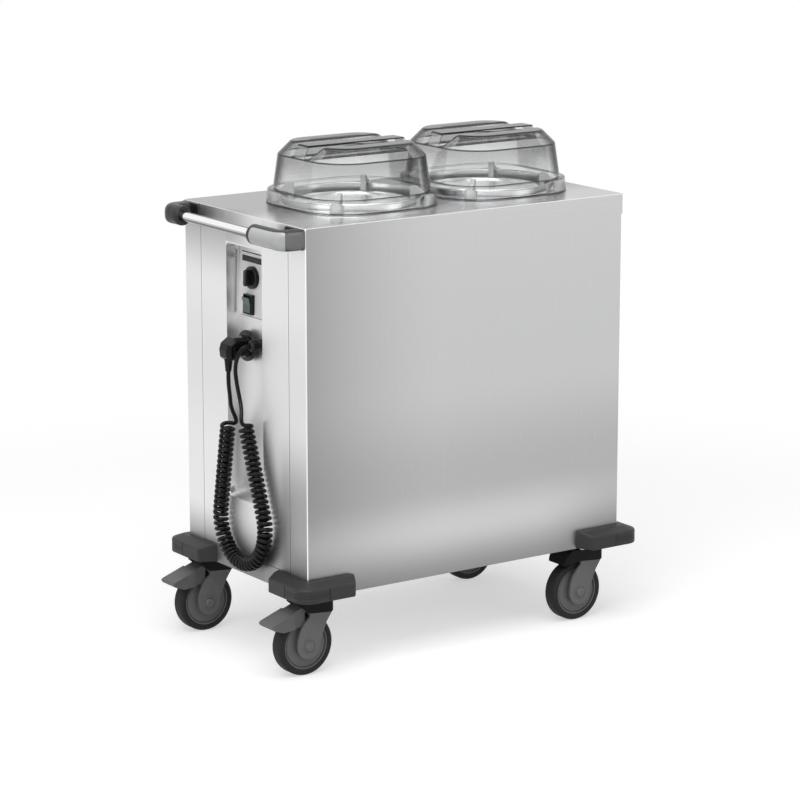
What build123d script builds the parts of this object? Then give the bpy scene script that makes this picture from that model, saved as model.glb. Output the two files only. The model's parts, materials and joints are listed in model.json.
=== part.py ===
from build123d import *
from math import atan2, cos, pi, radians, sin, sqrt, tan
import os

# A mobile heated plate dispenser with two wells, in millimetres, +Z up, standing on its four wheels.
# X runs along the cart: the push handle is at -X. Y runs across it. The origin is on the floor, under
# the middle of the whole outline, so the cabinet itself stands a little towards +X of it.

os.makedirs("parts", exist_ok=True)

# ---- cabinet
TOP_LENGTH, TOP_WIDTH, TOP_HEIGHT = 780.0, 452.0, 900.0
SHEET = 1.5
FLANGE = 42.0                       # turned-down edge of the top plate
FLANGE_GAP = 0.3                    # between the flange and the panels inside it
BODY_LENGTH = TOP_LENGTH - 2 * (SHEET + FLANGE_GAP)
BODY_WIDTH = TOP_WIDTH - 2 * (SHEET + FLANGE_GAP)
BODY_TOP = TOP_HEIGHT - SHEET
BODY_BOTTOM = 162.0
RETURN = 62.0                       # side panels turn this far round the corners
RETURN_BEND = 3.0
SEAM = 0.4
LAP = 15.0                          # side flange of an end panel, behind the return
TRAY_EDGE = 38.0                    # height of the tray's end strips and upstands
END_PANEL_BOTTOM = BODY_BOTTOM + TRAY_EDGE + 1.0

# ---- corner bumpers
OVERHANG = 35.0
BUMPER_LEG, BUMPER_LEG_OUTER = 110.0, 91.0
BUMPER_HEIGHT = 36.6
BUMPER_CORNER = 30.0
BUMPER_SLOPE_RUN, BUMPER_SLOPE_DROP = 22.0, 8.5
BUMPER_GROOVE = 65.0                # upright groove, from the outer corner

# ---- casters
CASTER_X, CASTER_Y = TOP_LENGTH / 2 - 51.0, TOP_WIDTH / 2 - 37.7
TRAIL = 40.0
TYRE_R, TYRE_WIDTH, TYRE_INNER_R = 62.5, 32.0, 50.0
LEG_INNER, LEG_OUTER = 20.0, 26.0   # the fork's legs, from the wheel's middle plane
HEAD_HALF, HEAD_FRONT = 28.0, 20.0
CROWN_BOTTOM, CROWN_TOP = 126.0, 132.0
HEAD_TOP = 154.5
PLATE_THICKNESS = 4.0
PLATE_BOTTOM = BODY_BOTTOM - PLATE_THICKNESS
PLATE_LENGTH, PLATE_WIDTH = 92.0, 71.0
BOLT_SPACING = (68.0, 48.0)
BOLT_R, BOLT_HOLE_R = 4.0, 4.5
KINGPIN_R, KINGPIN_BORE_R = 7.0, 7.05
AXLE_R, WHEEL_BORE_R, FORK_HOLE_R = 5.0, 5.06, 5.1
PEDAL_PIVOT = (-34.0, 138.0)        # from the swivel axis, and its height
PEDAL_TIP = 126.0
PEDAL_CLEARANCE_R = 75.5            # hollow over the tyre, wide enough for the pedal to tip
PEDAL_PIN_R, PEDAL_HOLE_R = 3.0, 3.05

# ---- handle
BAR_R, BAR_WALL = 10.0, 2.0
BAR_X, BAR_Z = -TOP_LENGTH / 2 - 40.0, TOP_HEIGHT - 22.0
BRACKET_R = 20.0
BRACKET_ARM = 38.0
NEAR_SLEEVE_END, FAR_SLEEVE_END = 120.0 - TOP_WIDTH / 2, TOP_WIDTH / 2 - 66.0
SLEEVE_BORE_R, SLEEVE_BORE_DEPTH = BAR_R + 0.05, 30.0

# ---- control niche
NICHE_HALF_WIDTH = 66.0
NICHE_TOP, NICHE_SILL_BACK, NICHE_SILL_FRONT = TOP_HEIGHT - 66.0, 335.0, 315.0
NICHE_DEPTH_TOP, NICHE_DEPTH_BOTTOM = 32.0, 16.0
NICHE_CORNER = 10.0

# ---- dispensers
TUBE_R, TUBE_WALL = 145.0, 1.5
WELL_MIDDLE, WELL_SPACING = 33.0, 2 * (TUBE_R + 18.0)
WELLS = (WELL_MIDDLE - WELL_SPACING / 2, WELL_MIDDLE + WELL_SPACING / 2)
WELL_HOLE_R = TUBE_R + 0.3
TUBE_BOTTOM, RIM_TOP = 240.0, TOP_HEIGHT + 19.0
TUBE_FLOOR_R = TUBE_R - 45.0        # of the hole in its bottom
FOOT_R = TUBE_R + 3.0
SLOT_WIDTH, SLOT_BOTTOM, SLOT_TOP = 16.0, TUBE_BOTTOM + 25.0, TOP_HEIGHT - 130.0
ARM_ANGLES = (90.0, 210.0, 330.0)
PLATFORM_R, PLATFORM_TOP = TUBE_R - 28.0, TOP_HEIGHT + 5.0
SKIRT_R, SKIRT_BOTTOM = PLATFORM_R - 2.0, PLATFORM_TOP - 155.0
ARM_THICKNESS, ARM_WIDTH, ARM_REACH = 6.0, 15.0, TUBE_R + 21.0
SPRING_RADIUS, SPRING_R = TUBE_R + 13.0, 7.0
LUG_BOTTOM, LUG_TOP = TOP_HEIGHT - 16.0, TOP_HEIGHT - 13.0
GUIDE_ANGLES = (45.0, 135.0, 225.0, 315.0)
GUIDE_ROD_RADIUS, GUIDE_ROD_R, GUIDE_FIN = TUBE_R - 21.0, 4.0, 10.0
GUIDE_FOOT, GUIDE_TOP = TOP_HEIGHT - 20.0, RIM_TOP + 17.0
HEATER_R, HEATER_Z = TUBE_R - 60.0, TUBE_BOTTOM - 19.0

# ---- hoods
HOOD_WALL = 3.0
HOOD_SKIRT_HEIGHT, HOOD_WALL_HEIGHT, HOOD_CROWN_HEIGHT = 27.8, 70.0, 27.0
HOOD_SEAT = TOP_HEIGHT + 0.2
HOOD_LEDGE = HOOD_SEAT + HOOD_SKIRT_HEIGHT
HOOD_SHOULDER = HOOD_LEDGE + HOOD_WALL_HEIGHT
HOOD_TOP = HOOD_SHOULDER + HOOD_CROWN_HEIGHT
HOOD_HALF, HOOD_CORNER = TUBE_R + 8.0, 100.0    # half its width and its corner radius, at the foot

# ---- mains cord
WIRE_R = 4.25
CURL_R = 12.25
CURLS = 62
CURL_PLANE_X = -TOP_LENGTH / 2 - 18.0    # the curls hang in this upright plane
PLUG_SIDE_TILT, GLAND_SIDE_TILT = 9.8, 20.1
PLUG_SIDE_RUN, GLAND_SIDE_RUN = 180.9, 183.8
CURL_SIDES = 6

# ---- controls, gland, socket and plug, in the niche
CONTROL_Z, CONTROL_WIDTH, CONTROL_HEIGHT, CONTROL_THICKNESS = NICHE_TOP - 82.5, 110.0, 127.0, 3.0
KNOB_Y, KNOB_Z = 8.0, NICHE_TOP - 66.0
SWITCH_Y, SWITCH_Z = 16.8, NICHE_TOP - 121.0
SWITCH_BODY = (29.0, 38.0)
SPINDLE_R, KNOB_BORE_R, BUSH_R = 3.0, 3.05, 4.5
SOCKET_Y, SOCKET_Z, SOCKET_R, SOCKET_THICKNESS = 15.0, NICHE_TOP - 204.0, 31.5, 15.0
GLAND_Y, GLAND_Z, GLAND_LENGTH, GLAND_STUB_R = -30.0, NICHE_TOP - 196.0, 33.0, 8.0
PLUG_Y, PLUG_R, PLUG_NOSE_R, PLUG_NOSE = 13.0, 21.5, 17.5, 8.0
PLUG_START, PLUG_END = SOCKET_THICKNESS, 70.0    # from the niche's back, along the plug
RELIEF_OUT, RELIEF_TOP, RELIEF_END = 54.5, -16.0, -48.0
RELIEF_R, RELIEF_END_R = 8.0, 5.0
BEND_R, BEND_Y, BEND_Z = 83.5, -17.0, SOCKET_Z - 353.0

CABINET_X = (CASTER_X + PEDAL_TIP - BODY_LENGTH / 2 - OVERHANG) / 2
ground = Plane((CABINET_X, 0, 0))


def level(z):
    """The cabinet's own level plane at a height."""
    return ground.offset(z)


def cross_plane(y):
    """The upright plane along the cart at a distance across it: local x and y are the cart's X and Z."""
    return Plane((CABINET_X, y, 0), x_dir=(1, 0, 0), z_dir=(0, -1, 0))


# ================================================================ cabinet shell
with BuildPart() as top_plate:
    with BuildSketch(level(TOP_HEIGHT - FLANGE)):
        RectangleRounded(TOP_LENGTH, TOP_WIDTH, 3.5)
    extrude(amount=FLANGE)
    fillet(top_plate.edges().group_by(Axis.Z)[-1], 1.2)
    with BuildSketch(level(TOP_HEIGHT - FLANGE)):
        RectangleRounded(TOP_LENGTH - 2 * SHEET, TOP_WIDTH - 2 * SHEET, 2.0)
    extrude(amount=FLANGE - SHEET, mode=Mode.SUBTRACT)
    with BuildSketch(level(TOP_HEIGHT - SHEET)):
        with Locations(*[(x, 0) for x in WELLS]):
            Circle(WELL_HOLE_R)
    extrude(amount=SHEET, mode=Mode.SUBTRACT)
top_plate.part.label = "top_plate"
export_step(top_plate.part, "parts/top_plate.step")


def side_panel(side):
    """A long side with its returns: a shallow C in plan."""
    with BuildPart() as panel:
        with BuildSketch(level(BODY_BOTTOM)):
            with Locations((0, side * (BODY_WIDTH - RETURN) / 2)):
                Rectangle(BODY_LENGTH, RETURN)
        extrude(amount=BODY_TOP - BODY_BOTTOM)
        outside = panel.faces().sort_by(Axis.Y)[-1 if side > 0 else 0]
        fillet(outside.edges().filter_by(Axis.Z), RETURN_BEND)
        with BuildSketch(level(BODY_BOTTOM)):
            with Locations((0, side * ((BODY_WIDTH - RETURN) / 2 - SHEET))):
                Rectangle(BODY_LENGTH - 2 * SHEET, RETURN)
        extrude(amount=BODY_TOP - BODY_BOTTOM, mode=Mode.SUBTRACT)
    return panel.part


for side, name in ((-1, "side_panel_near"), (1, "side_panel_far")):
    panel_part = side_panel(side)
    panel_part.label = name
    export_step(panel_part, f"parts/{name}.step")


def niche_block(grow):
    """The solid that fills the niche: a rounded upright opening whose back leans in towards the top."""
    face = -BODY_LENGTH / 2
    with BuildPart() as block:
        with BuildSketch(Plane((CABINET_X + face, 0, 0), x_dir=(0, -1, 0), z_dir=(-1, 0, 0))):
            with Locations((0, (NICHE_TOP + NICHE_SILL_FRONT) / 2)):
                RectangleRounded(2 * (NICHE_HALF_WIDTH + grow),
                                 NICHE_TOP - NICHE_SILL_FRONT + 2 * grow, NICHE_CORNER + grow)
        extrude(amount=-NICHE_DEPTH_TOP - 10)
        with BuildSketch(cross_plane(0)):
            Polygon((face, NICHE_TOP + grow), (face + NICHE_DEPTH_TOP + grow, NICHE_TOP + grow),
                    (face + NICHE_DEPTH_BOTTOM + grow, NICHE_SILL_BACK - grow),
                    (face, NICHE_SILL_FRONT - grow), align=None)
        extrude(amount=NICHE_HALF_WIDTH + 10, both=True, mode=Mode.INTERSECT)
    return block.part


# The niche's back, leaning away towards the top: local x runs to -Y, y up the back, z out of it.
NICHE_LEAN = atan2(NICHE_DEPTH_TOP - NICHE_DEPTH_BOTTOM, NICHE_TOP - NICHE_SILL_BACK)


def niche_plane(y, z, out=0.0):
    """A plane on the niche's back, centred across the cart at y and at a height, or out in front of it."""
    x = -BODY_LENGTH / 2 + NICHE_DEPTH_TOP - (NICHE_TOP - z) * tan(NICHE_LEAN)
    back = Plane((CABINET_X + x, y, z), x_dir=(0, -1, 0),
                 z_dir=(-cos(NICHE_LEAN), 0, sin(NICHE_LEAN)))
    return back.offset(out)


PAD_WIDTH, PAD_THICKNESS = 66.0, 5.0
GROOVE_HEIGHTS, GROOVE_DEPTH = (10.0, 14.0, 18.0), 0.8


def end_panel(end, niche):
    """The sheet between the returns, with a joggled flange that laps behind each of them."""
    half = BODY_WIDTH / 2 - RETURN - SEAM
    middle_x = end * (BODY_LENGTH - SHEET) / 2
    with BuildPart() as panel:
        with BuildSketch(level(END_PANEL_BOTTOM)):
            with Locations((middle_x, 0)):
                Rectangle(SHEET, 2 * half)
            with Locations(*[(middle_x - end * SHEET, s * (half + LAP / 2 - 2)) for s in (-1, 1)]):
                Rectangle(SHEET, LAP + 4)
        extrude(amount=BODY_TOP - END_PANEL_BOTTOM)
        if niche:
            add(niche_block(SHEET))
            add(niche_block(0), mode=Mode.SUBTRACT)
            with BuildSketch(niche_plane(KNOB_Y, KNOB_Z)):
                Circle(BUSH_R + 0.5)
            with BuildSketch(niche_plane(GLAND_Y, GLAND_Z)):
                Circle(GLAND_STUB_R + 0.3)
            with BuildSketch(niche_plane(SWITCH_Y, SWITCH_Z)):
                Rectangle(*[size + 0.6 for size in SWITCH_BODY])
            extrude(amount=3 * SHEET, both=True, mode=Mode.SUBTRACT)
    return panel.part


for end, name in ((-1, "end_panel_front"), (1, "end_panel_rear")):
    panel_part = end_panel(end, niche=end < 0)
    panel_part.label = name
    export_step(panel_part, f"parts/{name}.step")

with BuildPart() as base_tray:
    with BuildSketch(level(BODY_BOTTOM)):
        RectangleRounded(BODY_LENGTH - 2 * SHEET, BODY_WIDTH - 2 * SHEET, 2.0)
        Rectangle(BODY_LENGTH, BODY_WIDTH - 2 * (RETURN + SEAM))
    extrude(amount=SHEET)
    with BuildSketch(level(BODY_BOTTOM)):
        with Locations(*[(s * (BODY_LENGTH - SHEET) / 2, 0) for s in (-1, 1)]):
            Rectangle(SHEET, BODY_WIDTH - 2 * (RETURN + SEAM))
        with Locations(*[(0, s * (BODY_WIDTH - 3 * SHEET) / 2) for s in (-1, 1)]):
            Rectangle(BODY_LENGTH - 20, SHEET)
    extrude(amount=TRAY_EDGE)
    with BuildSketch(level(BODY_BOTTOM)):
        with GridLocations(2 * CASTER_X, 2 * CASTER_Y, 2, 2):
            with GridLocations(*BOLT_SPACING, 2, 2):
                Circle(BOLT_HOLE_R)
    extrude(amount=SHEET, mode=Mode.SUBTRACT)
base_tray.part.label = "base_tray"
export_step(base_tray.part, "parts/base_tray.step")


# ================================================================ corner bumpers
def bumper(end, side):
    """A moulded corner: two legs round the cabinet's corner, with a sloped top edge and fine grooves."""

    def at(x, y):
        return end * (BODY_LENGTH / 2 + x), side * (BODY_WIDTH / 2 + y)

    with BuildPart() as block:
        with BuildSketch(level(BODY_BOTTOM)) as plan:
            Polygon(at(0, 0), at(0, -BUMPER_LEG), at(OVERHANG, -BUMPER_LEG_OUTER), at(OVERHANG, OVERHANG),
                    at(-BUMPER_LEG_OUTER, OVERHANG), at(-BUMPER_LEG, 0), align=None)
            fillet(plan.vertices().sort_by_distance((*at(OVERHANG, OVERHANG), 0))[0], BUMPER_CORNER)
        extrude(amount=BUMPER_HEIGHT)
        top = block.faces().sort_by(Axis.Z)[-1]

        def overhang(point):
            return max(abs(point.X - CABINET_X) - BODY_LENGTH / 2, abs(point.Y) - BODY_WIDTH / 2)

        rim = [e for e in top.edges() if overhang(e @ 0.5) > 5
               and max(overhang(e @ 0), overhang(e @ 1)) > OVERHANG - 0.1]
        chamfer(rim, BUMPER_SLOPE_RUN, BUMPER_SLOPE_DROP, reference=top)
        # upright grooves, one on each outer face, and three fine ones round the corner between them
        groove_at = OVERHANG - BUMPER_GROOVE
        with BuildSketch(level(BODY_BOTTOM)):
            with Locations(at(groove_at, OVERHANG), at(OVERHANG, groove_at)):
                Rectangle(2.4, 2.4, rotation=45)
        extrude(amount=BUMPER_HEIGHT, mode=Mode.SUBTRACT)
        for height in GROOVE_HEIGHTS:
            with BuildSketch(level(BODY_BOTTOM + height)) as ring:
                Polygon(at(groove_at, groove_at), at(groove_at, OVERHANG + 1), at(OVERHANG + 1, OVERHANG + 1),
                        at(OVERHANG + 1, groove_at), align=None)
                with BuildSketch(level(BODY_BOTTOM + height), mode=Mode.SUBTRACT) as kept:
                    Polygon(at(groove_at, groove_at), at(groove_at, OVERHANG - GROOVE_DEPTH),
                            at(OVERHANG - GROOVE_DEPTH, OVERHANG - GROOVE_DEPTH),
                            at(OVERHANG - GROOVE_DEPTH, groove_at), align=None)
                    fillet(kept.vertices().sort_by_distance((*at(OVERHANG, OVERHANG), 0))[0],
                           BUMPER_CORNER - GROOVE_DEPTH)
            extrude(amount=1.2, mode=Mode.SUBTRACT)
    return block.part


for end, end_name in ((-1, "handle"), (1, "back")):
    for side, side_name in ((-1, "near"), (1, "far")):
        block = bumper(end, side)
        block.label = f"bumper_{end_name}_{side_name}"
        export_step(block, f"parts/{block.label}.step")


# ================================================================ handle
def bracket(side, sleeve_end):
    """An arm out from the top plate's flange, turned along the cart's end into a round sleeve."""
    outer_y = side * TOP_WIDTH / 2
    bottom, top = BAR_Z - BRACKET_R, BAR_Z + BRACKET_R
    flange_x = -TOP_LENGTH / 2
    tip_x = BAR_X - BRACKET_R
    arm_y = outer_y - side * BRACKET_ARM
    with BuildPart() as arm:
        with BuildSketch(level(bottom)) as plan:
            Polygon((flange_x, outer_y), (tip_x, outer_y), (tip_x, arm_y), (flange_x, arm_y), align=None)
            fillet(plan.vertices().sort_by_distance((tip_x, outer_y, 0))[0], BRACKET_ARM - 2)
        extrude(amount=top - bottom)
        ends = arm.faces().filter_by(Axis.Z)
        rims = [e for f in ends for e in f.edges()
                if max(abs((e @ t).Y - arm_y) for t in (0, 1)) > 1 and
                max(abs((e @ t).X - CABINET_X - flange_x) for t in (0, 1)) > 1]
        fillet(rims, 7)
        with BuildSketch(Plane((CABINET_X + BAR_X, arm_y + side * 12, BAR_Z), x_dir=(1, 0, 0),
                               z_dir=(0, -side, 0))):
            Circle(BRACKET_R)
        extrude(amount=abs(arm_y + side * 12 - sleeve_end))
        with BuildSketch(Plane((CABINET_X + flange_x, 0, 0), x_dir=(0, 1, 0), z_dir=(-1, 0, 0))):
            with Locations((outer_y - side * PAD_WIDTH / 2, -BAR_Z)):
                RectangleRounded(PAD_WIDTH, 2 * BRACKET_R, 6)
        extrude(amount=PAD_THICKNESS)
        with BuildSketch(Plane((CABINET_X + BAR_X, sleeve_end, BAR_Z), x_dir=(1, 0, 0),
                               z_dir=(0, side, 0))):
            Circle(SLEEVE_BORE_R)
        extrude(amount=SLEEVE_BORE_DEPTH, mode=Mode.SUBTRACT)
    return arm.part


for side, sleeve_end, name in ((-1, NEAR_SLEEVE_END, "handle_bracket_near"),
                               (1, FAR_SLEEVE_END, "handle_bracket_far")):
    arm = bracket(side, sleeve_end)
    arm.label = name
    export_step(arm, f"parts/{name}.step")

bar_start, bar_end = NEAR_SLEEVE_END - SLEEVE_BORE_DEPTH, FAR_SLEEVE_END + SLEEVE_BORE_DEPTH
with BuildPart() as handle_bar:
    with BuildSketch(Plane((CABINET_X + BAR_X, bar_start, BAR_Z), x_dir=(1, 0, 0), z_dir=(0, 1, 0))):
        Circle(BAR_R)
        Circle(BAR_R - BAR_WALL, mode=Mode.SUBTRACT)
    extrude(amount=bar_end - bar_start)
handle_bar.part.label = "handle_bar"
export_step(handle_bar.part, "parts/handle_bar.step")


# ================================================================ controls
face_plane = niche_plane(0, CONTROL_Z)
with BuildPart() as control_plate:
    with BuildSketch(face_plane):
        RectangleRounded(CONTROL_WIDTH, CONTROL_HEIGHT, 3)
    extrude(amount=CONTROL_THICKNESS)
    fillet(control_plate.faces().sort_by(Axis.X)[0].edges(), 0.8)
    with BuildSketch(niche_plane(KNOB_Y, KNOB_Z)):
        Circle(BUSH_R + 0.5)
    with BuildSketch(niche_plane(SWITCH_Y, SWITCH_Z)):
        Rectangle(*[size + 0.6 for size in SWITCH_BODY])
    extrude(amount=CONTROL_THICKNESS, mode=Mode.SUBTRACT)
control_plate.part.label = "control_plate"
export_step(control_plate.part, "parts/control_plate.step")

with BuildPart() as thermostat:
    with BuildSketch(niche_plane(KNOB_Y, KNOB_Z, -SHEET)):
        RectangleRounded(45, 45, 4)
    extrude(amount=-30)
    with BuildSketch(niche_plane(KNOB_Y, KNOB_Z, -SHEET)):
        Circle(BUSH_R)
    extrude(amount=SHEET + CONTROL_THICKNESS)
    with BuildSketch(niche_plane(KNOB_Y, KNOB_Z)):
        Circle(SPINDLE_R)
    extrude(amount=CONTROL_THICKNESS + 14)
thermostat.part.label = "thermostat"
export_step(thermostat.part, "parts/thermostat.step")

KNOB_SEAT = CONTROL_THICKNESS + 0.3
with BuildPart() as thermostat_knob:
    with BuildSketch(niche_plane(KNOB_Y, KNOB_Z, KNOB_SEAT)):
        Circle(22.5)
    extrude(amount=8)
    fillet(thermostat_knob.faces().sort_by(Axis.X)[0].edges(), 2)
    with BuildSketch(niche_plane(KNOB_Y, KNOB_Z, KNOB_SEAT + 6)) as grip:
        SlotOverall(33, 10, rotation=90)
    extrude(amount=15)
    fillet(thermostat_knob.faces().sort_by(Axis.X)[0].edges(), 1.5)
    with BuildSketch(niche_plane(KNOB_Y, KNOB_Z, KNOB_SEAT)):
        Circle(KNOB_BORE_R)
    extrude(amount=15, mode=Mode.SUBTRACT)
thermostat_knob.part.label = "thermostat_knob"
export_step(thermostat_knob.part, "parts/thermostat_knob.step")

FRAME_TOP = CONTROL_THICKNESS + 8
ROCKER_PIVOT = CONTROL_THICKNESS + 4
ROCKER_TILT = 8.0
with BuildPart() as switch_frame:
    with BuildSketch(niche_plane(SWITCH_Y, SWITCH_Z, CONTROL_THICKNESS)):
        RectangleRounded(32, 40, 2)
    extrude(amount=8)
    fillet(switch_frame.faces().sort_by(Axis.X)[0].edges(), 0.8)
    with BuildSketch(niche_plane(SWITCH_Y, SWITCH_Z, CONTROL_THICKNESS)):
        Rectangle(*SWITCH_BODY)
    extrude(amount=-18)
    with BuildSketch(niche_plane(SWITCH_Y, SWITCH_Z, FRAME_TOP)):
        Rectangle(26, 36)
    extrude(amount=-18, mode=Mode.SUBTRACT)
    with BuildSketch(cross_plane(SWITCH_Y)):
        pivot = niche_plane(SWITCH_Y, SWITCH_Z, ROCKER_PIVOT).origin
        with Locations((pivot.X - CABINET_X, pivot.Z)):
            Circle(1.55)
    extrude(amount=14.5, both=True, mode=Mode.SUBTRACT)
switch_frame.part.label = "switch_frame"
export_step(switch_frame.part, "parts/switch_frame.step")

# the rocker, tipped to its on side: local x of its plane runs up the niche, y out of it
rocker_base = niche_plane(SWITCH_Y, SWITCH_Z, ROCKER_PIVOT)
tilt = radians(ROCKER_TILT)
rocker_plane = Plane(rocker_base.origin, z_dir=(0, -1, 0),
                     x_dir=rocker_base.y_dir * cos(tilt) + rocker_base.z_dir * sin(tilt))
with BuildPart() as switch_rocker:
    with BuildSketch(rocker_plane):
        Polygon((-15.5, -1), (0, -4), (15.5, -1), (15.5, 7.5), (0, 5), (-15.5, 7.5), align=None)
    extrude(amount=12.5, both=True)
    with BuildSketch(rocker_plane):
        Circle(1.5)
    extrude(amount=14, both=True)
switch_rocker.part.label = "switch_rocker"
export_step(switch_rocker.part, "parts/switch_rocker.step")


# ================================================================ cable gland, parking socket and plug
with BuildPart() as cable_gland:
    with BuildSketch(niche_plane(GLAND_Y, GLAND_Z)):
        RegularPolygon(12.5, 6)
    extrude(amount=9)
    with BuildSketch(niche_plane(GLAND_Y, GLAND_Z, 9)):
        Circle(10.4)
    extrude(amount=7)
    with BuildSketch(niche_plane(GLAND_Y, GLAND_Z, 16)):
        Circle(12.4)
    with BuildSketch(niche_plane(GLAND_Y, GLAND_Z, GLAND_LENGTH)):
        Circle(7)
    loft()
    with BuildSketch(niche_plane(GLAND_Y, GLAND_Z)):
        Circle(GLAND_STUB_R)
    extrude(amount=-12)
cable_gland.part.label = "cable_gland"
export_step(cable_gland.part, "parts/cable_gland.step")

with BuildPart() as parking_socket:
    with BuildSketch(niche_plane(SOCKET_Y, SOCKET_Z)):
        Circle(SOCKET_R)
    extrude(amount=SOCKET_THICKNESS)
    fillet(parking_socket.faces().sort_by(Axis.X)[0].edges(), 3)
    with BuildSketch(niche_plane(PLUG_Y, SOCKET_Z, SOCKET_THICKNESS)):
        Circle(PLUG_NOSE_R + 0.3)
    extrude(amount=-PLUG_NOSE - 1, mode=Mode.SUBTRACT)
parking_socket.part.label = "parking_socket"
export_step(parking_socket.part, "parts/parking_socket.step")

plug_plane = niche_plane(PLUG_Y, SOCKET_Z)
# the strain relief hangs from the plug: local x out of the niche, y up it
relief_plane = Plane(plug_plane.origin, x_dir=plug_plane.z_dir,
                     z_dir=plug_plane.z_dir.cross(plug_plane.y_dir))
with BuildPart() as plug:
    with BuildSketch(plug_plane.offset(PLUG_START)):
        Circle(PLUG_R)
    extrude(amount=PLUG_END - PLUG_START)
    chamfer(plug.faces().sort_by(Axis.X)[0].edges(), 6, 4)
    with BuildSketch(plug_plane.offset(PLUG_START - PLUG_NOSE)):
        Circle(PLUG_NOSE_R)
    extrude(amount=PLUG_NOSE)
    with BuildSketch(relief_plane):
        Polygon((RELIEF_OUT, 0), (RELIEF_OUT + RELIEF_R + 2, 0), (RELIEF_OUT + RELIEF_R + 2, RELIEF_TOP - 8),
                (RELIEF_OUT + RELIEF_R, RELIEF_TOP - 8), (RELIEF_OUT + RELIEF_END_R, RELIEF_END),
                (RELIEF_OUT, RELIEF_END), align=None)
        for rib in range(4):
            share = (rib + 1) / 5
            depth = RELIEF_TOP - 8 + share * (RELIEF_END - RELIEF_TOP + 8)
            surface = RELIEF_OUT + RELIEF_R + share * (RELIEF_END_R - RELIEF_R)
            with Locations((surface, depth)):
                Rectangle(2.4, 1.8, mode=Mode.SUBTRACT)
    revolve(axis=Axis(relief_plane.from_local_coords((RELIEF_OUT, 0, 0)), relief_plane.y_dir))
plug.part.label = "plug"
export_step(plug.part, "parts/plug.step")


# ================================================================ mains cord
def hanging(out, y, drop):
    """A point on the cord: out from the curls' plane, across the cart and below the parking socket."""
    return Vector(CABINET_X + CURL_PLANE_X - out, y, SOCKET_Z - drop)


def bend_radii(points):
    """A radius for each corner of a free stretch: the widest that leaves part of each run straight."""
    radii = []
    for before, here, after in zip(points, points[1:], points[2:]):
        run_in, run_out = here - before, after - here
        half_turn = radians(run_in.get_angle(run_out)) / 2
        radii.append(0.45 * min(run_in.length, run_out.length) / tan(half_turn))
    return radii


def curl_axis(distance):
    """A place on the curls' middle line, and its heading: down the plug's side, round, and up."""
    plug_tilt, gland_tilt = radians(PLUG_SIDE_TILT), radians(GLAND_SIDE_TILT)
    turn = pi + plug_tilt + gland_tilt
    along = min(max(distance - PLUG_SIDE_RUN, 0.0) / BEND_R, turn)
    angle = -along                               # of the radius, from the side where the bend starts
    start = plug_tilt
    y = BEND_Y + BEND_R * cos(start + angle)
    z = BEND_Z + BEND_R * sin(start + angle)
    heading = (sin(start + angle), -cos(start + angle))
    straight = distance - PLUG_SIDE_RUN if distance < PLUG_SIDE_RUN else \
        max(distance - PLUG_SIDE_RUN - BEND_R * turn, 0.0)
    return (y + straight * heading[0], z + straight * heading[1]), heading


CURL_AXIS_LENGTH = PLUG_SIDE_RUN + GLAND_SIDE_RUN + BEND_R * radians(180 + PLUG_SIDE_TILT + GLAND_SIDE_TILT)
CURL_START, CURL_END = 205.0, 280.0 + 360.0 * (CURLS - 1)


def curl_point(angle):
    """A place on the curled wire, by its turning angle from the cart's -X side."""
    distance = CURL_AXIS_LENGTH * (angle - CURL_START) / (CURL_END - CURL_START)
    (y, z), (along_y, along_z) = curl_axis(distance)
    turn = radians(angle)
    return Vector(CABINET_X + CURL_PLANE_X - CURL_R * cos(turn), y + CURL_R * sin(turn) * along_z,
                  z - CURL_R * sin(turn) * along_y)


def curl_heading(angle):
    return (curl_point(angle + 0.05) - curl_point(angle - 0.05)).normalized()


def arc_middle(start, corner, finish):
    """The middle of the arc that leaves start towards corner and arrives at finish from it."""
    chord_middle = (start + finish) * 0.5
    rise = corner - chord_middle
    half_chord = (finish - start).length / 2
    lean = atan2(rise.length, half_chord)
    return chord_middle + rise.normalized() * (half_chord * tan(lean / 2))


def biarc(first, first_heading, last, last_heading):
    """Two arcs that join two places and headings smoothly, as (middle, end) pairs."""
    span = last - first
    both = first_heading + last_heading
    a = 2 * (first_heading.dot(last_heading) - 1)
    b = -2 * span.dot(both)
    reach = (-b - sqrt(b * b - 4 * a * span.dot(span))) / (2 * a)
    corner_1, corner_2 = first + first_heading * reach, last - last_heading * reach
    joint = (corner_1 + corner_2) * 0.5
    return (arc_middle(first, corner_1, joint), joint), (arc_middle(joint, corner_2, last), last)


half_turns = round((CURL_END - CURL_START) / 180)
knots = [CURL_START + (CURL_END - CURL_START) * i / half_turns for i in range(half_turns + 1)]
curl_first, curl_last = curl_point(knots[0]), curl_point(knots[-1])
relief_end = relief_plane.from_local_coords((RELIEF_OUT, RELIEF_END, 0))
gland_end = niche_plane(GLAND_Y, GLAND_Z, GLAND_LENGTH)
plug_lead = curl_first - curl_heading(knots[0]) * 8.5
gland_lead = curl_last + curl_heading(knots[-1]) * 8.5
plug_route = [relief_end, relief_end - plug_plane.y_dir * 22, hanging(6.0, 16.2, 95.5),
              hanging(1.0, 21.5, 120), hanging(-6.5, 24.5, 135), plug_lead + Vector(1, -6.5, 6.5),
              plug_lead, curl_first]
gland_route = [curl_last, gland_lead, gland_lead + Vector(-5.4, 1.8, 7), hanging(8.0, -31, 118),
               hanging(5.0, -19, 96), hanging(5.5, -9, 68), hanging(8.0, -7, 37),
               hanging(10.0, -20, 12), gland_end.origin + gland_end.z_dir * 18, gland_end.origin]
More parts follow.
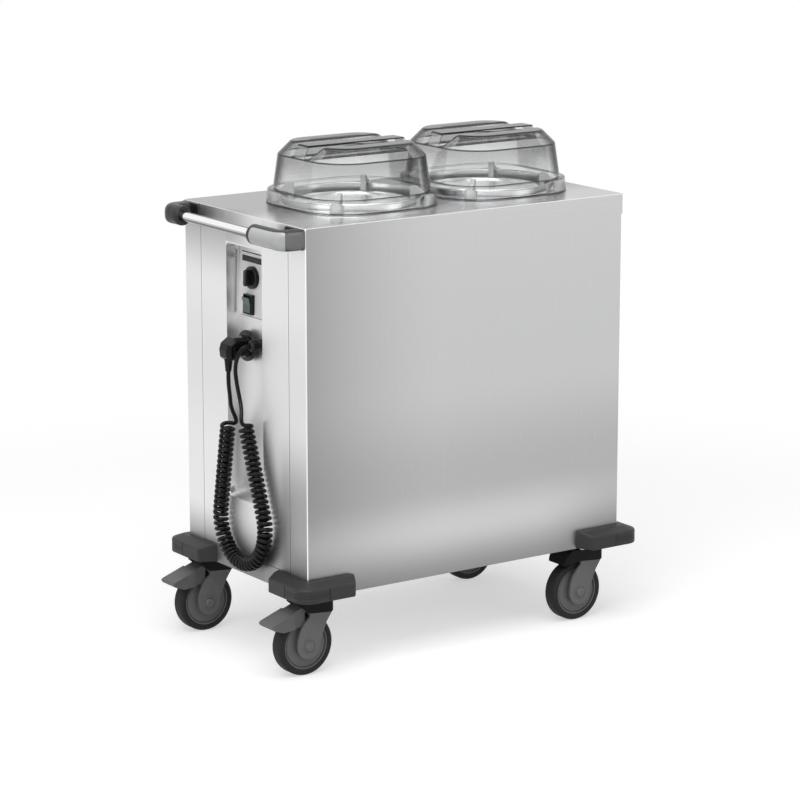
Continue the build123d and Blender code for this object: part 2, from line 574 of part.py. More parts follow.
with BuildPart() as mains_cord:
    with BuildLine() as cord_line:
        FilletPolyline(*plug_route, radius=bend_radii(plug_route))
        for here, there in zip(knots, knots[1:]):
            start = curl_point(here)
            for middle, finish in biarc(start, curl_heading(here), curl_point(there), curl_heading(there)):
                ThreePointArc(start, middle, finish)
                start = finish
        FilletPolyline(*gland_route, radius=bend_radii(gland_route))
    with BuildSketch(Plane(relief_end, z_dir=plug_route[1] - plug_route[0])):
        RegularPolygon(WIRE_R, CURL_SIDES)
    sweep(path=cord_line.wire(), clean=False)
mains_cord.part.label = "mains_cord"
export_step(mains_cord.part, "parts/mains_cord.step")

turn_gap = min((curl_point(a + da) - curl_point(a)).length - 2 * WIRE_R
               for a in range(int(CURL_START), int(CURL_END) - 540, 15) for da in range(336, 388, 4))
section = CURL_SIDES / 2 * WIRE_R ** 2 * sin(2 * pi / CURL_SIDES)
print("bend radii, plug side", [round(r, 1) for r in bend_radii(plug_route)])
print("bend radii, gland side", [round(r, 1) for r in bend_radii(gland_route)])
print("least gap between turns", round(turn_gap, 2), "cord length", round(cord_line.wire().length, 1),
      "volume over section x length",
      round(mains_cord.part.volume / (section * cord_line.wire().length), 4))


# ================================================================ casters
def caster_plane(place):
    """The upright middle plane of a caster: local x from its swivel axis, y the height."""
    return Plane((CABINET_X + place[0], place[1], 0), x_dir=(1, 0, 0), z_dir=(0, -1, 0))


def caster_head(place, braked):
    """The moulded swivel housing over the fork: open behind for a pedal, or with a tail over the tyre."""
    tail = [(-62, HEAD_TOP), (-62, 149)] if braked else [(-64, HEAD_TOP), (-77, 142), (-86, 127), (-80, 124)]
    tail_end = -tail[-1 if braked else 2][0]
    middle = caster_plane(place)
    axis_level = Plane((CABINET_X + place[0], place[1], 0))
    with BuildPart() as head:
        with BuildSketch(middle) as side_view:
            Polygon(*tail, (-38, 130), (12, 126), (HEAD_FRONT, 129), (HEAD_FRONT, HEAD_TOP), align=None)
            fillet([v for v in side_view.vertices() if v.Y > 145], 3)
        extrude(amount=HEAD_HALF, both=True)
        with BuildSketch(axis_level.offset(60)):
            with Locations(((HEAD_FRONT - tail_end) / 2, 0)):
                RectangleRounded(HEAD_FRONT + tail_end, 2 * HEAD_HALF, 9)
        extrude(amount=HEAD_TOP, mode=Mode.INTERSECT)
        with BuildSketch(axis_level.offset(HEAD_TOP)):
            Circle(HEAD_FRONT)
        extrude(amount=PLATE_BOTTOM - 0.3 - HEAD_TOP)
        with BuildSketch(middle):
            with Locations((-23, (CROWN_TOP + 60) / 2)):
                Rectangle(76, CROWN_TOP - 60)
        extrude(amount=LEG_OUTER, both=True, mode=Mode.SUBTRACT)
        with BuildSketch(axis_level.offset(CROWN_TOP - 5)):
            Circle(KINGPIN_BORE_R)
        extrude(amount=40, mode=Mode.SUBTRACT)
        if braked:
            with BuildSketch(middle):
                with Locations((PEDAL_PIVOT[0] - 13, (CROWN_TOP + 150) / 2)):
                    Rectangle(42, 150 - CROWN_TOP)
            extrude(amount=LEG_INNER, both=True, mode=Mode.SUBTRACT)
            with BuildSketch(middle):
                with Locations(PEDAL_PIVOT):
                    Circle(PEDAL_HOLE_R)
            extrude(amount=HEAD_HALF - 1, both=True, mode=Mode.SUBTRACT)
    return head.part


def caster_fork(place):
    """Two legs swept back under a flat crown, bored for the axle."""
    with BuildPart() as fork:
        with BuildSketch(caster_plane(place)):
            with BuildLine():
                Polyline((-38, 122), (-38, CROWN_TOP), (14, CROWN_TOP), (14, 125), (2, 107), (-15, 68))
                ThreePointArc((-15, 68), (-TRAIL - 4, TYRE_R - 26), (-TRAIL - 26, TYRE_R))
                ThreePointArc((-TRAIL - 26, TYRE_R), (-58, 97), (-38, 122))
            make_face()
        extrude(amount=LEG_OUTER, both=True)
        with BuildSketch(caster_plane(place)):
            with Locations((-30, (CROWN_BOTTOM + 20) / 2)):
                Rectangle(130, CROWN_BOTTOM - 20)
        extrude(amount=LEG_INNER, both=True, mode=Mode.SUBTRACT)
        with BuildSketch(caster_plane(place)):
            with Locations((-TRAIL, TYRE_R)):
                Circle(FORK_HOLE_R)
        extrude(amount=LEG_OUTER, both=True, mode=Mode.SUBTRACT)
    return fork.part


def wheel_axis(place):
    centre = Vector(CABINET_X + place[0] - TRAIL, place[1], TYRE_R)
    return Axis(centre, (0, 1, 0)), Plane(centre, x_dir=(0, 1, 0), z_dir=(1, 0, 0))


def tyre(place):
    """A solid rubber band with rounded shoulders."""
    axis, across = wheel_axis(place)
    with BuildPart() as band:
        with BuildSketch(across) as profile:
            with Locations((0, (TYRE_R + TYRE_INNER_R) / 2)):
                Rectangle(TYRE_WIDTH, TYRE_R - TYRE_INNER_R)
            fillet(profile.vertices().group_by(Axis.Y)[-1], 6)
        revolve(axis=axis)
    return band.part


def hub(place):
    """Rim ring, a fine groove, a nearly flush disc and a boss."""
    axis, across = wheel_axis(place)
    half = TYRE_WIDTH / 2 - 1.5
    with BuildPart() as wheel:
        with BuildSketch(across):
            outline = [(19.5, WHEEL_BORE_R), (19.5, 12), (17, 14), (half - 1, 20), (half - 2.5, 45),
                       (half - 4.5, 45.5), (half - 4.5, 46.5), (half, 47), (half, TYRE_INNER_R)]
            Polygon(*outline, *[(-y, r) for y, r in reversed(outline)], align=None)
        revolve(axis=axis)
    return wheel.part


def axle(place):
    """The axle bolt, capped on both outer faces of the fork."""
    axis, across = wheel_axis(place)
    with BuildPart() as bolt:
        with BuildSketch(across) as profile:
            Polygon((-30, 0), (30, 0), (30, 7), (29, 9), (LEG_OUTER, 9), (LEG_OUTER, AXLE_R),
                    (-LEG_OUTER, AXLE_R), (-LEG_OUTER, 9), (-29, 9), (-30, 7), align=None)
        revolve(axis=axis)
    return bolt.part


def brake_pedal(place):
    """A wide foot pad, an arm to the pivot in the housing, and cheeks beside the tyre."""
    middle = caster_plane(place)
    pivot_x, pivot_z = PEDAL_PIVOT
    with BuildPart() as pedal:
        with BuildSketch(middle) as side_view:
            Polygon((-36, 143.2), (-50, 143.2), (-122, 117), (-PEDAL_TIP, 113), (-121, 107), (-99, 99),
                    (-46, 104), (-46, 133), (-36, 133), align=None)
            with Locations(PEDAL_PIVOT):
                Circle(5.2)
            fillet(side_view.vertices().sort_by_distance((-50, 143.2, 0))[0], 6)
        extrude(amount=LEG_INNER - 0.5, both=True)
        with BuildSketch(middle):
            Polygon((-72, 135.2), (-122, 117), (-PEDAL_TIP, 113), (-121, 107), (-99, 99), (-72, 101.5),
                    align=None)
        extrude(amount=25, both=True)
        fillet(pedal.faces().sort_by(Axis.X)[0].edges().filter_by(Axis.Y), 1.5)
        with BuildSketch(middle):
            with Locations((-TRAIL, TYRE_R)):
                Circle(PEDAL_CLEARANCE_R)
        extrude(amount=TYRE_WIDTH / 2 + 1, both=True, mode=Mode.SUBTRACT)
        with BuildSketch(middle):
            Polygon((-80, 60), (-80, 115), (-116, 107.5), (-116, 60), align=None)
        extrude(amount=22.5, both=True, mode=Mode.SUBTRACT)
        with BuildSketch(middle):
            with Locations(PEDAL_PIVOT):
                Circle(PEDAL_PIN_R)
        extrude(amount=HEAD_HALF - 1.5, both=True)
    return pedal.part


CASTERS = {"front_near": (-CASTER_X, -CASTER_Y), "front_far": (-CASTER_X, CASTER_Y),
           "rear_near": (CASTER_X, -CASTER_Y), "rear_far": (CASTER_X, CASTER_Y)}
for name, place in CASTERS.items():
    pieces = {"caster_head": caster_head(place, place[0] < 0), "caster_fork": caster_fork(place),
              "tyre": tyre(place), "hub": hub(place), "axle": axle(place)}
    if place[0] < 0:
        pieces["brake_pedal"] = brake_pedal(place)
    for kind, piece in pieces.items():
        piece.label = f"{kind}_{name}"
        export_step(piece, f"parts/{piece.label}.step")

with BuildPart() as caster_plates:
    with BuildSketch(level(PLATE_BOTTOM)):
        with GridLocations(2 * CASTER_X, 2 * CASTER_Y, 2, 2):
            RectangleRounded(PLATE_LENGTH, PLATE_WIDTH, 6)
            with GridLocations(*BOLT_SPACING, 2, 2):
                Circle(BOLT_HOLE_R, mode=Mode.SUBTRACT)
    extrude(amount=PLATE_THICKNESS)
    with BuildSketch(level(CROWN_TOP + 2)):
        with GridLocations(2 * CASTER_X, 2 * CASTER_Y, 2, 2):
            Circle(KINGPIN_R)
    extrude(amount=PLATE_BOTTOM - CROWN_TOP - 2)
caster_plates.part.label = "caster_plates"
export_step(caster_plates.part, "parts/caster_plates.step")

with BuildPart() as caster_bolts:
    for bottom, height, outline in ((PLATE_BOTTOM - 3, 3, lambda: Circle(7.5)),
                                    (PLATE_BOTTOM, PLATE_THICKNESS + SHEET + 9, lambda: Circle(BOLT_R)),
                                    (BODY_BOTTOM + SHEET, 6, lambda: RegularPolygon(7, 6))):
        with BuildSketch(level(bottom)):
            with GridLocations(2 * CASTER_X, 2 * CASTER_Y, 2, 2):
                with GridLocations(*BOLT_SPACING, 2, 2):
                    outline()
        extrude(amount=height)
caster_bolts.part.label = "caster_bolts"
export_step(caster_bolts.part, "parts/caster_bolts.step")


# ================================================================ dispensers
def well_tube(x):
    """A slotted tube with a rolled rim, hung in the top plate, and the lugs that hold the springs."""
    centre = Plane((CABINET_X + x, 0, 0))
    radial = Plane((CABINET_X + x, 0, 0), x_dir=(1, 0, 0), z_dir=(0, -1, 0))
    inner_r = TUBE_R - TUBE_WALL
    with BuildPart() as tube:
        with BuildSketch(radial):
            Polygon((TUBE_FLOOR_R, TUBE_BOTTOM), (TUBE_R, TUBE_BOTTOM), (TUBE_R, TOP_HEIGHT),
                    (FOOT_R, TOP_HEIGHT), (FOOT_R, TOP_HEIGHT + 2), (TUBE_R, TOP_HEIGHT + 2),
                    (TUBE_R, RIM_TOP - 2), (inner_r, RIM_TOP - 2), (inner_r, TUBE_BOTTOM + 3),
                    (TUBE_FLOOR_R, TUBE_BOTTOM + 3), align=None)
            with Locations((TUBE_R + 0.7, RIM_TOP - 2.2)):
                Circle(2.2)
        revolve(axis=Axis(centre.origin, (0, 0, 1)))
        for angle in ARM_ANGLES:
            outward = (cos(radians(angle)), sin(radians(angle)), 0)
            facing = Plane(centre.origin, x_dir=(-outward[1], outward[0], 0), z_dir=outward)
            with BuildSketch(facing.offset(TUBE_R + 5)):
                with Locations((0, (SLOT_BOTTOM + SLOT_TOP) / 2)):
                    Rectangle(SLOT_WIDTH, SLOT_TOP - SLOT_BOTTOM)
            extrude(amount=-20, mode=Mode.SUBTRACT)
            with BuildSketch(facing.offset(TUBE_R - TUBE_WALL / 2)):
                with Locations((0, (LUG_BOTTOM + LUG_TOP) / 2)):
                    Rectangle(SLOT_WIDTH, LUG_TOP - LUG_BOTTOM)
            extrude(amount=ARM_REACH - TUBE_R + TUBE_WALL / 2)
    return tube.part


def plate_guides(x):
    """Four guides: a rod down the well, a white fin over the rim and a dark clamp outside it."""
    centre = Plane((CABINET_X + x, 0, 0))
    with BuildPart() as guides:
        for angle in GUIDE_ANGLES:
            outward = (cos(radians(angle)), sin(radians(angle)), 0)
            blade = Plane(centre.origin, x_dir=outward, z_dir=(outward[1], -outward[0], 0))
            with BuildSketch(blade):
                Polygon((GUIDE_ROD_RADIUS - GUIDE_ROD_R, GUIDE_FOOT),
                        (GUIDE_ROD_RADIUS + GUIDE_ROD_R, GUIDE_FOOT), (GUIDE_ROD_RADIUS + 7, RIM_TOP),
                        (TUBE_R + 15, RIM_TOP), (TUBE_R + 15, RIM_TOP + 4),
                        (TUBE_R + 2, RIM_TOP + 5), (GUIDE_ROD_RADIUS + 9, GUIDE_TOP),
                        (GUIDE_ROD_RADIUS - GUIDE_ROD_R, GUIDE_TOP), align=None)
            extrude(amount=GUIDE_FIN / 2, both=True)
            with BuildSketch(centre.offset(TUBE_BOTTOM + 3)):
                with Locations((GUIDE_ROD_RADIUS * outward[0], GUIDE_ROD_RADIUS * outward[1])):
                    Circle(GUIDE_ROD_R)
            extrude(amount=GUIDE_FOOT - TUBE_BOTTOM - 3 + 10)
            with BuildSketch(Plane((CABINET_X + x, 0, TOP_HEIGHT), x_dir=outward, z_dir=(0, 0, 1))):
                with Locations((TUBE_R + 13.6, 0)):
                    RectangleRounded(19.4, 24, 9)
            extrude(amount=RIM_TOP - TOP_HEIGHT)
    return guides.part


def platform(x):
    """The sprung plate carrier: a rimmed disc on a skirt, with three arms out through the tube's slots."""
    centre = Plane((CABINET_X + x, 0, 0))
    radial = Plane((CABINET_X + x, 0, 0), x_dir=(1, 0, 0), z_dir=(0, -1, 0))
    with BuildPart() as carrier:
        with BuildSketch(radial):
            Polygon((0, PLATFORM_TOP - 5), (PLATFORM_R - 16, PLATFORM_TOP - 5),
                    (PLATFORM_R - 14, PLATFORM_TOP - 2), (SKIRT_R - 1.5, PLATFORM_TOP - 2),
                    (SKIRT_R - 1.5, SKIRT_BOTTOM), (SKIRT_R, SKIRT_BOTTOM), (SKIRT_R, PLATFORM_TOP - 3),
                    (PLATFORM_R, PLATFORM_TOP - 3), (PLATFORM_R, PLATFORM_TOP),
                    (PLATFORM_R - 15, PLATFORM_TOP), (PLATFORM_R - 17, PLATFORM_TOP - 3),
                    (0, PLATFORM_TOP - 3), align=None)
        revolve(axis=Axis(centre.origin, (0, 0, 1)))
        for angle in ARM_ANGLES:
            outward = (cos(radians(angle)), sin(radians(angle)), 0)
            with BuildSketch(Plane((CABINET_X + x, 0, SKIRT_BOTTOM), x_dir=outward, z_dir=(0, 0, 1))):
                with Locations(((SKIRT_R - 1 + ARM_REACH) / 2, 0)):
                    Rectangle(ARM_REACH - SKIRT_R + 1, ARM_WIDTH)
            extrude(amount=ARM_THICKNESS)
    return carrier.part


def springs(x):
    """Three draw springs outside the tube, from the carrier's arms up to the tube's lugs."""
    centre = Plane((CABINET_X + x, 0, SKIRT_BOTTOM + ARM_THICKNESS))
    with BuildPart() as coils:
        with BuildSketch(centre):
            with PolarLocations(SPRING_RADIUS, len(ARM_ANGLES), start_angle=ARM_ANGLES[0]):
                Circle(SPRING_R)
                Circle(SPRING_R - 1.6, mode=Mode.SUBTRACT)
        extrude(amount=LUG_BOTTOM - SKIRT_BOTTOM - ARM_THICKNESS)
    return coils.part


# the hood's outline: the height, and how far it stands inside the foot's outline there
HOOD_OUTLINE = ((HOOD_SEAT, 0.0), (HOOD_LEDGE, 3.0), (HOOD_LEDGE, 14.0), (HOOD_SHOULDER, 24.0),
                (HOOD_TOP, 51.0))
GRIP_HALF, GRIP_DRAFT = 18.0, 1.5
GRIP_END_TOP, GRIP_END_BASE = HOOD_HALF - 37.0, HOOD_HALF - 25.0
CHANNEL_FLOOR, CHANNEL_EDGE_FLOOR, CHANNEL_EDGE_TOP = HOOD_SHOULDER + 2, 32.0, 54.0


def hood_block(x, inset):
    """The hood's outside, or its hollow when inset by the wall: skirt, walls, shoulder, grip and channels."""
    with BuildPart() as block:
        for (z0, in0), (z1, in1) in (HOOD_OUTLINE[0:2], HOOD_OUTLINE[2:4], HOOD_OUTLINE[3:5]):
            from_top = z0 > HOOD_SEAT
            for z, inside in ((z0 - inset * from_top, in0 + inset), (z1 - inset, in1 + inset)):
                with BuildSketch(Plane((CABINET_X + x, 0, z))):
                    width = 2 * (HOOD_HALF - inside)
                    RectangleRounded(width, width, HOOD_CORNER - inside)
            loft(ruled=True)
        across = Plane((CABINET_X + x, 0, 0), x_dir=(0, 1, 0), z_dir=(1, 0, 0))
        for side in (-1, 1):
            with BuildSketch(across):
                Polygon((side * (GRIP_HALF + GRIP_DRAFT - inset), CHANNEL_FLOOR - inset),
                        (side * (CHANNEL_EDGE_FLOOR + inset), CHANNEL_FLOOR - inset),
                        (side * (CHANNEL_EDGE_TOP + inset), HOOD_TOP + 0.01),
                        (side * (GRIP_HALF - inset), HOOD_TOP + 0.01), align=None)
            extrude(amount=160, both=True, mode=Mode.SUBTRACT)
        with BuildSketch(Plane((CABINET_X + x, 0, 0), x_dir=(1, 0, 0), z_dir=(0, -1, 0))):
            base, top = GRIP_END_BASE - inset, GRIP_END_TOP - inset
            Polygon((-base, HOOD_SHOULDER - inset), (-top, HOOD_TOP - inset), (top, HOOD_TOP - inset),
                    (base, HOOD_SHOULDER - inset), align=None)
        extrude(amount=GRIP_HALF - inset, both=True)
    return block.part


def hood(x):
    """A clear vacuum-formed cover."""
    with BuildPart() as cover:
        add(hood_block(x, 0))
        add(hood_block(x, HOOD_WALL), mode=Mode.SUBTRACT)
        with BuildSketch(Plane((CABINET_X + x, 0, HOOD_SEAT))):
            width = 2 * (HOOD_HALF - HOOD_WALL)
            RectangleRounded(width, width, HOOD_CORNER - HOOD_WALL)
        extrude(amount=1, mode=Mode.SUBTRACT)
    return cover.part


for number, x in enumerate(WELLS, 1):
    for kind, make in (("dispenser_tube", well_tube), ("plate_guides", plate_guides),
                       ("plate_platform", platform), ("platform_springs", springs), ("hood", hood)):
        piece = make(x)
        piece.label = f"{kind}_{number}"
        export_step(piece, f"parts/{piece.label}.step")

with BuildPart() as heating_elements:
    with BuildSketch(level(HEATER_Z)):
        with Locations(*[(x, 0) for x in WELLS]):
            Circle(HEATER_R + 4)
            Circle(HEATER_R - 4, mode=Mode.SUBTRACT)
    extrude(amount=8)
    with BuildSketch(level(BODY_BOTTOM + SHEET)):
        with Locations(*[(x, 0) for x in WELLS]):
            with PolarLocations(HEATER_R, 3, start_angle=30):
                Circle(3.5)
    extrude(amount=HEATER_Z - BODY_BOTTOM - SHEET)
heating_elements.part.label = "heating_elements"
export_step(heating_elements.part, "parts/heating_elements.step")
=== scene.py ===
import bpy
import bmesh
import json
import numpy as np
from math import atan2, cos, hypot, pi, radians, sin, tan
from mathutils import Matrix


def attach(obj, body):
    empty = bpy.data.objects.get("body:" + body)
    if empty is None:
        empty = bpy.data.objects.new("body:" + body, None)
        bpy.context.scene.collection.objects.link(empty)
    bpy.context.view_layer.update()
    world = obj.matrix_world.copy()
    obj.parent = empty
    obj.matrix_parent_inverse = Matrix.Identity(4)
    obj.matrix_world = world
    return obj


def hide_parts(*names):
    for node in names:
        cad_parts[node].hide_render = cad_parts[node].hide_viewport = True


# Looks of a mobile plate dispenser: satin steel cabinet, clear hoods, moulded bumpers, casters, controls
# and a curled mains cord. Lengths are written in millimetres from the cabinet's middle, as in the part's
# source, and become metres of the shared frame in on_cart().

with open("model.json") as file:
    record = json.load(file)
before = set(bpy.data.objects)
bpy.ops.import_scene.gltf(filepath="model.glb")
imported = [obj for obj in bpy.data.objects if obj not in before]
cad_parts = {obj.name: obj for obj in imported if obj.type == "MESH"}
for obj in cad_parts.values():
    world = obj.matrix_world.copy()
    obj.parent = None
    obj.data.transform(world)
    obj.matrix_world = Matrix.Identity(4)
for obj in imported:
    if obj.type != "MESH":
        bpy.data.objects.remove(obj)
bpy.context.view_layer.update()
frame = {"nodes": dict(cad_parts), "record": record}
BODY_OF = {node: body for body, nodes in frame["record"]["behaviour"]["bodies"].items() for node in nodes}

MM = 0.001
CABINET_X = 20.9                       # the cabinet's middle in the shared frame
HALF_LENGTH, HALF_WIDTH = 388.2, 224.2  # of the panels, under the top plate
BODY_BOTTOM = 162.0
WELLS = (-130.0, 196.0)                # their middles along the cart
BAR_X, BAR_Z = -430.0, 878.0           # the axis of the handle bar


def on_cart(x, y, z):
    """Points of the frame, in metres, from millimetres measured from the cabinet's middle."""
    return np.stack(np.broadcast_arrays(np.asarray(x, float) + CABINET_X, y, z), -1) * MM


# ================================================================ shader writing
class Value:
    """An output socket on which Python's arithmetic adds Math nodes."""

    def __init__(self, shade, socket):
        self.shade, self.socket = shade, socket

    def math(self, operation, *others):
        inputs = dict(enumerate((self, *others)))
        return self.shade.node("ShaderNodeMath", {"operation": operation}, inputs)

    def __add__(self, other):
        return self.math("ADD", other)

    def __sub__(self, other):
        return self.math("SUBTRACT", other)

    def __mul__(self, other):
        return self.math("MULTIPLY", other)

    def __truediv__(self, other):
        return self.math("DIVIDE", other)

    def __pow__(self, other):
        return self.math("POWER", other)

    def __abs__(self):
        return self.math("ABSOLUTE")

    __radd__, __rmul__ = __add__, __mul__

    def __rsub__(self, other):
        return self.shade.node("ShaderNodeMath", {"operation": "SUBTRACT"}, {0: other, 1: self})

    def clamp(self, low=0.0, high=1.0):
        return self.shade.node("ShaderNodeClamp", {}, {"Value": self, "Min": low, "Max": high})

    def step(self, low, high, to_low=0.0, to_high=1.0):
        """Smoothly from to_low below low to to_high above high."""
        return self.shade.node("ShaderNodeMapRange", {"interpolation_type": "SMOOTHSTEP"},
                               {"Value": self, "From Min": low, "From Max": high,
                                "To Min": to_low, "To Max": to_high})


class Shade:
    """A material, or the world's shader, that is written one node at a time."""

    def __init__(self, name, owner=None):
        self.material = owner or bpy.data.materials.new(name)
        self.material.use_nodes = True
        self.tree = self.material.node_tree
        self.tree.nodes.clear()

    def node(self, kind, settings=None, inputs=None, output=0):
        """Adds a node: its settings first, then its sockets' values or links. Returns one output."""
        made = self.tree.nodes.new(kind)
        for key, value in (settings or {}).items():
            setattr(made, key, value)
        for key, value in (inputs or {}).items():
            if isinstance(value, Value):
                self.tree.links.new(value.socket, made.inputs[key])
            else:
                made.inputs[key].default_value = value
        return Value(self, made.outputs[output]) if made.outputs else None

    def object_space(self, scale=(1, 1, 1)):
        """The object's own coordinates, in metres, each times its scale."""
        place = self.node("ShaderNodeTexCoord", {}, {}, "Object")
        return self.node("ShaderNodeMapping", {}, {"Vector": place, "Scale": scale})

    def axis(self, number):
        """One coordinate of the object's own space, in metres."""
        return self.node("ShaderNodeSeparateXYZ", {}, {0: self.object_space()}, number)

    def facing(self, number):
        """How squarely the surface faces along one axis, either way, from 0 to 1."""
        normal = self.node("ShaderNodeNewGeometry", {}, {}, "Normal")
        return abs(self.node("ShaderNodeSeparateXYZ", {}, {0: normal}, number))

    def noise(self, scale, detail=3.0, roughness=0.55, stretch=(1, 1, 1)):
        return self.node("ShaderNodeTexNoise", {}, {"Vector": self.object_space(stretch), "Scale": scale,
                                                    "Detail": detail, "Roughness": roughness})

    def mix(self, factor, low, high):
        """A colour between two colours."""
        return self.node("ShaderNodeMix", {"data_type": "RGBA"}, {0: factor, 6: low, 7: high}, 2)

    def bump(self, height, strength, distance):
        return self.node("ShaderNodeBump", {}, {"Height": height, "Strength": strength, "Distance": distance})

    def principled(self, **inputs):
        return self.node("ShaderNodeBsdfPrincipled", {}, {k.replace("_", " "): v for k, v in inputs.items()})

    def finish(self, surface):
        self.node("ShaderNodeOutputWorld" if isinstance(self.material, bpy.types.World)
                  else "ShaderNodeOutputMaterial", {}, {"Surface": surface})
        return self.material


def grey(level, warm=0.0, alpha=1.0):
    return (level * (1 + warm), level, level * (1 - warm), alpha)


# ================================================================ finishes
FLAT = (0.86, 0.97)                    # how squarely a face has to face along an axis to count as flat
NICHE_EDGE = (0.0665, 0.0675)          # the niche's half width, in metres, as a narrow blend


def steel(name, level, grain, rough=0.3, spread=0.03, tone=None):
    """Satin sheet: fine grain lines along one axis in colour, gloss and relief, with slow clouding. The tone,
    where there is one, is painted light and shade, a factor on the colour, and such a sheet is duller on faces
    that look along the cart and in the niche."""
    s = Shade(name)
    lines = tuple(4.0 if axis == grain else 700.0 for axis in range(3))
    fine = s.noise(1.0, 4.0, 0.6, lines)
    clouds = s.noise(2.6, 2.0, 0.5)
    colour = s.mix(fine * 0.7 + clouds * 0.3, grey(level - spread, -0.004), grey(level + spread, -0.001))
    if tone:
        # painted light and shade: the colour is taken towards black by the tone
        colour = s.mix(tone(s), grey(0.0), colour)
    relief = s.bump(fine, 0.08, 0.0002)
    gloss = rough - 0.04 + fine * 0.08
    if tone:
        in_niche = (1 - abs(s.axis(1)).step(*NICHE_EDGE)) * (1 - s.axis(0).step(-0.375, -0.335))
        gloss = gloss + s.facing(0).step(*FLAT) * 0.16 + in_niche * 0.12
    return s.finish(s.principled(Base_Color=colour, Metallic=1.0, Roughness=gloss, Normal=relief))


def painted_sheet_light(s):
    """Painted light and shade on the cabinet's sheet, a factor on its colour: painted highlights on the bends,
    and on the flat faces broad soft painted reflections and shade, each kind of face at its own painted level.
    Sides: painted darker towards the handle and low at the back, a painted dark band 0.35 m up and a painted
    dark foot. Ends: a painted dark foot and a faint painted band, dark seam lines beside the returns with a
    painted highlight line next to each, and at the handle a painted darker top on the far side and a painted
    dark reflection of the cord low on the near side. Top: painted darker away from the near edge and towards
    the back. The niche has one painted level, with a painted highlight line just above its sill."""
    x, y, z = (s.axis(number) for number in range(3))
    flat_x, flat_y, flat_z = (s.facing(number).step(*FLAT) for number in range(3))
    across = abs(y)
    from_handle = ((x - (CABINET_X - HALF_LENGTH) * MM) / 0.33).clamp()
    # painted shade: darker towards the handle
    side = 1 - (1 - from_handle) ** 1.6 * 0.36
    # painted reflections: a dark band 0.35 m up and a dark foot
    side = side * (1 - (z.step(0.262, 0.345) - z.step(0.355, 0.56)) * 0.21) * z.step(0.155, 0.262, 0.46, 1.0)
    # painted dark foot and a faint painted band on the ends
    end = z.step(0.175, 0.29, 0.35, 1.0) * (1 - (z.step(0.4, 0.56) - z.step(0.6, 0.74)) * 0.06)
    seam = 1 - (across.step(0.1606, 0.1612) - across.step(0.1626, 0.1632)) * 0.6
    # painted highlight line beside each dark seam
    end = end * seam * (1 + (across.step(0.158, 0.1588) - across.step(0.1600, 0.1606)) * 0.14)
    handle_end = 1 - x.step(-0.1, 0.1)
    # painted shade: a darker top on the far side of the handle end
    end = end * (1 - handle_end * z.step(0.74, 0.87) * y.step(-0.06, 0.06) * 0.4)
    # painted dark reflection of the cord, low on the near side of the handle end
    end = end * (1 - handle_end * (1 - y.step(-0.15, -0.11)) * (1 - z.step(0.34, 0.52)) * 0.5)
    # painted shade: darker low at the back of the sides
    side = side * (1 - x.step(0.18, 0.42) * (1 - z.step(0.2, 0.36)) * 0.32)
    # painted reflections on the top: darker away from the near edge and towards the back
    top = y.step(-0.17, 0.03, 1.4, 0.5) * (1 - x.step(0.1, 0.33) * 0.42)
    # each kind of face at its own painted level, and the bends as painted highlights
    tone = (flat_x * end * 0.86 + flat_y * side * 0.6 + flat_z * top * 0.64
            + (1 - flat_x - flat_y - flat_z).clamp() * 0.98)
    # the niche at one painted level, with a painted highlight line just above its sill
    niche = (1 - across.step(*NICHE_EDGE)) * (1 - x.step(-0.34, -0.335)) * (1 - z.step(0.836, 0.838))
    niche = niche * z.step(0.331, 0.332)
    sill = (z.step(0.3315, 0.3325) - z.step(0.3375, 0.3385)) * flat_x * niche
    return (tone * (1 - niche) + niche * 0.82 + sill * 0.18).clamp()


def plastic(name, colour, rough, grain=900.0, depth=0.25, coat=0.0, mottle=0.25, shine=0.5):
    """Moulded plastic: eroded fine grain in the relief, and slight mottling of colour and gloss."""
    s = Shade(name)
    fine = s.noise(grain, 2.0, 0.5)
    slow = s.noise(14.0, 3.0, 0.5)
    dark = tuple(c * (1 - mottle) for c in colour[:3]) + (1.0,)
    light = tuple(min(c * (1 + mottle), 1.0) for c in colour[:3]) + (1.0,)
    tone = s.mix(slow * 0.6 + fine * 0.4, dark, light)
    return s.finish(s.principled(Base_Color=tone, Roughness=(rough - 0.07 + slow * 0.14).clamp(0.05, 1.0),
                                 Normal=s.bump(fine, depth, 0.0003), Coat_Weight=coat,
                                 Coat_Roughness=0.15, Specular_IOR_Level=shine))


def chrome(name, x, z):
    """Polished tube along Y about (x, z): nearly mirror bright, with painted dark reflection lines along it in
    its
    colour, by the angle round it: 0 faces -X and a quarter turn faces up."""
    s = Shade(name)
    lines = s.noise(1.0, 3.0, 0.5, (300.0, 1400.0, 300.0))
    out, up = x * MM - s.axis(0), s.axis(2) - z * MM
    angle = s.node("ShaderNodeMath", {"operation": "ARCTAN2"}, {0: up, 1: out})
    # painted reflections: dark bands by the angle round the bar
    dark = (angle.step(1.1, 1.3) - angle.step(1.55, 1.75) + angle.step(-1.0, -0.85) * 0.9
            - angle.step(-0.4, -0.12) * 0.45 - angle.step(-0.02, 0.2) * 0.45)
    bright = s.mix(lines, grey(0.86), grey(0.97))
    return s.finish(s.principled(Base_Color=s.mix(dark.clamp(0.0, 0.93), bright, grey(0.02)), Metallic=1.0,
                                 Roughness=0.07 + lines * 0.06, Normal=s.bump(lines, 0.05, 0.0001)))


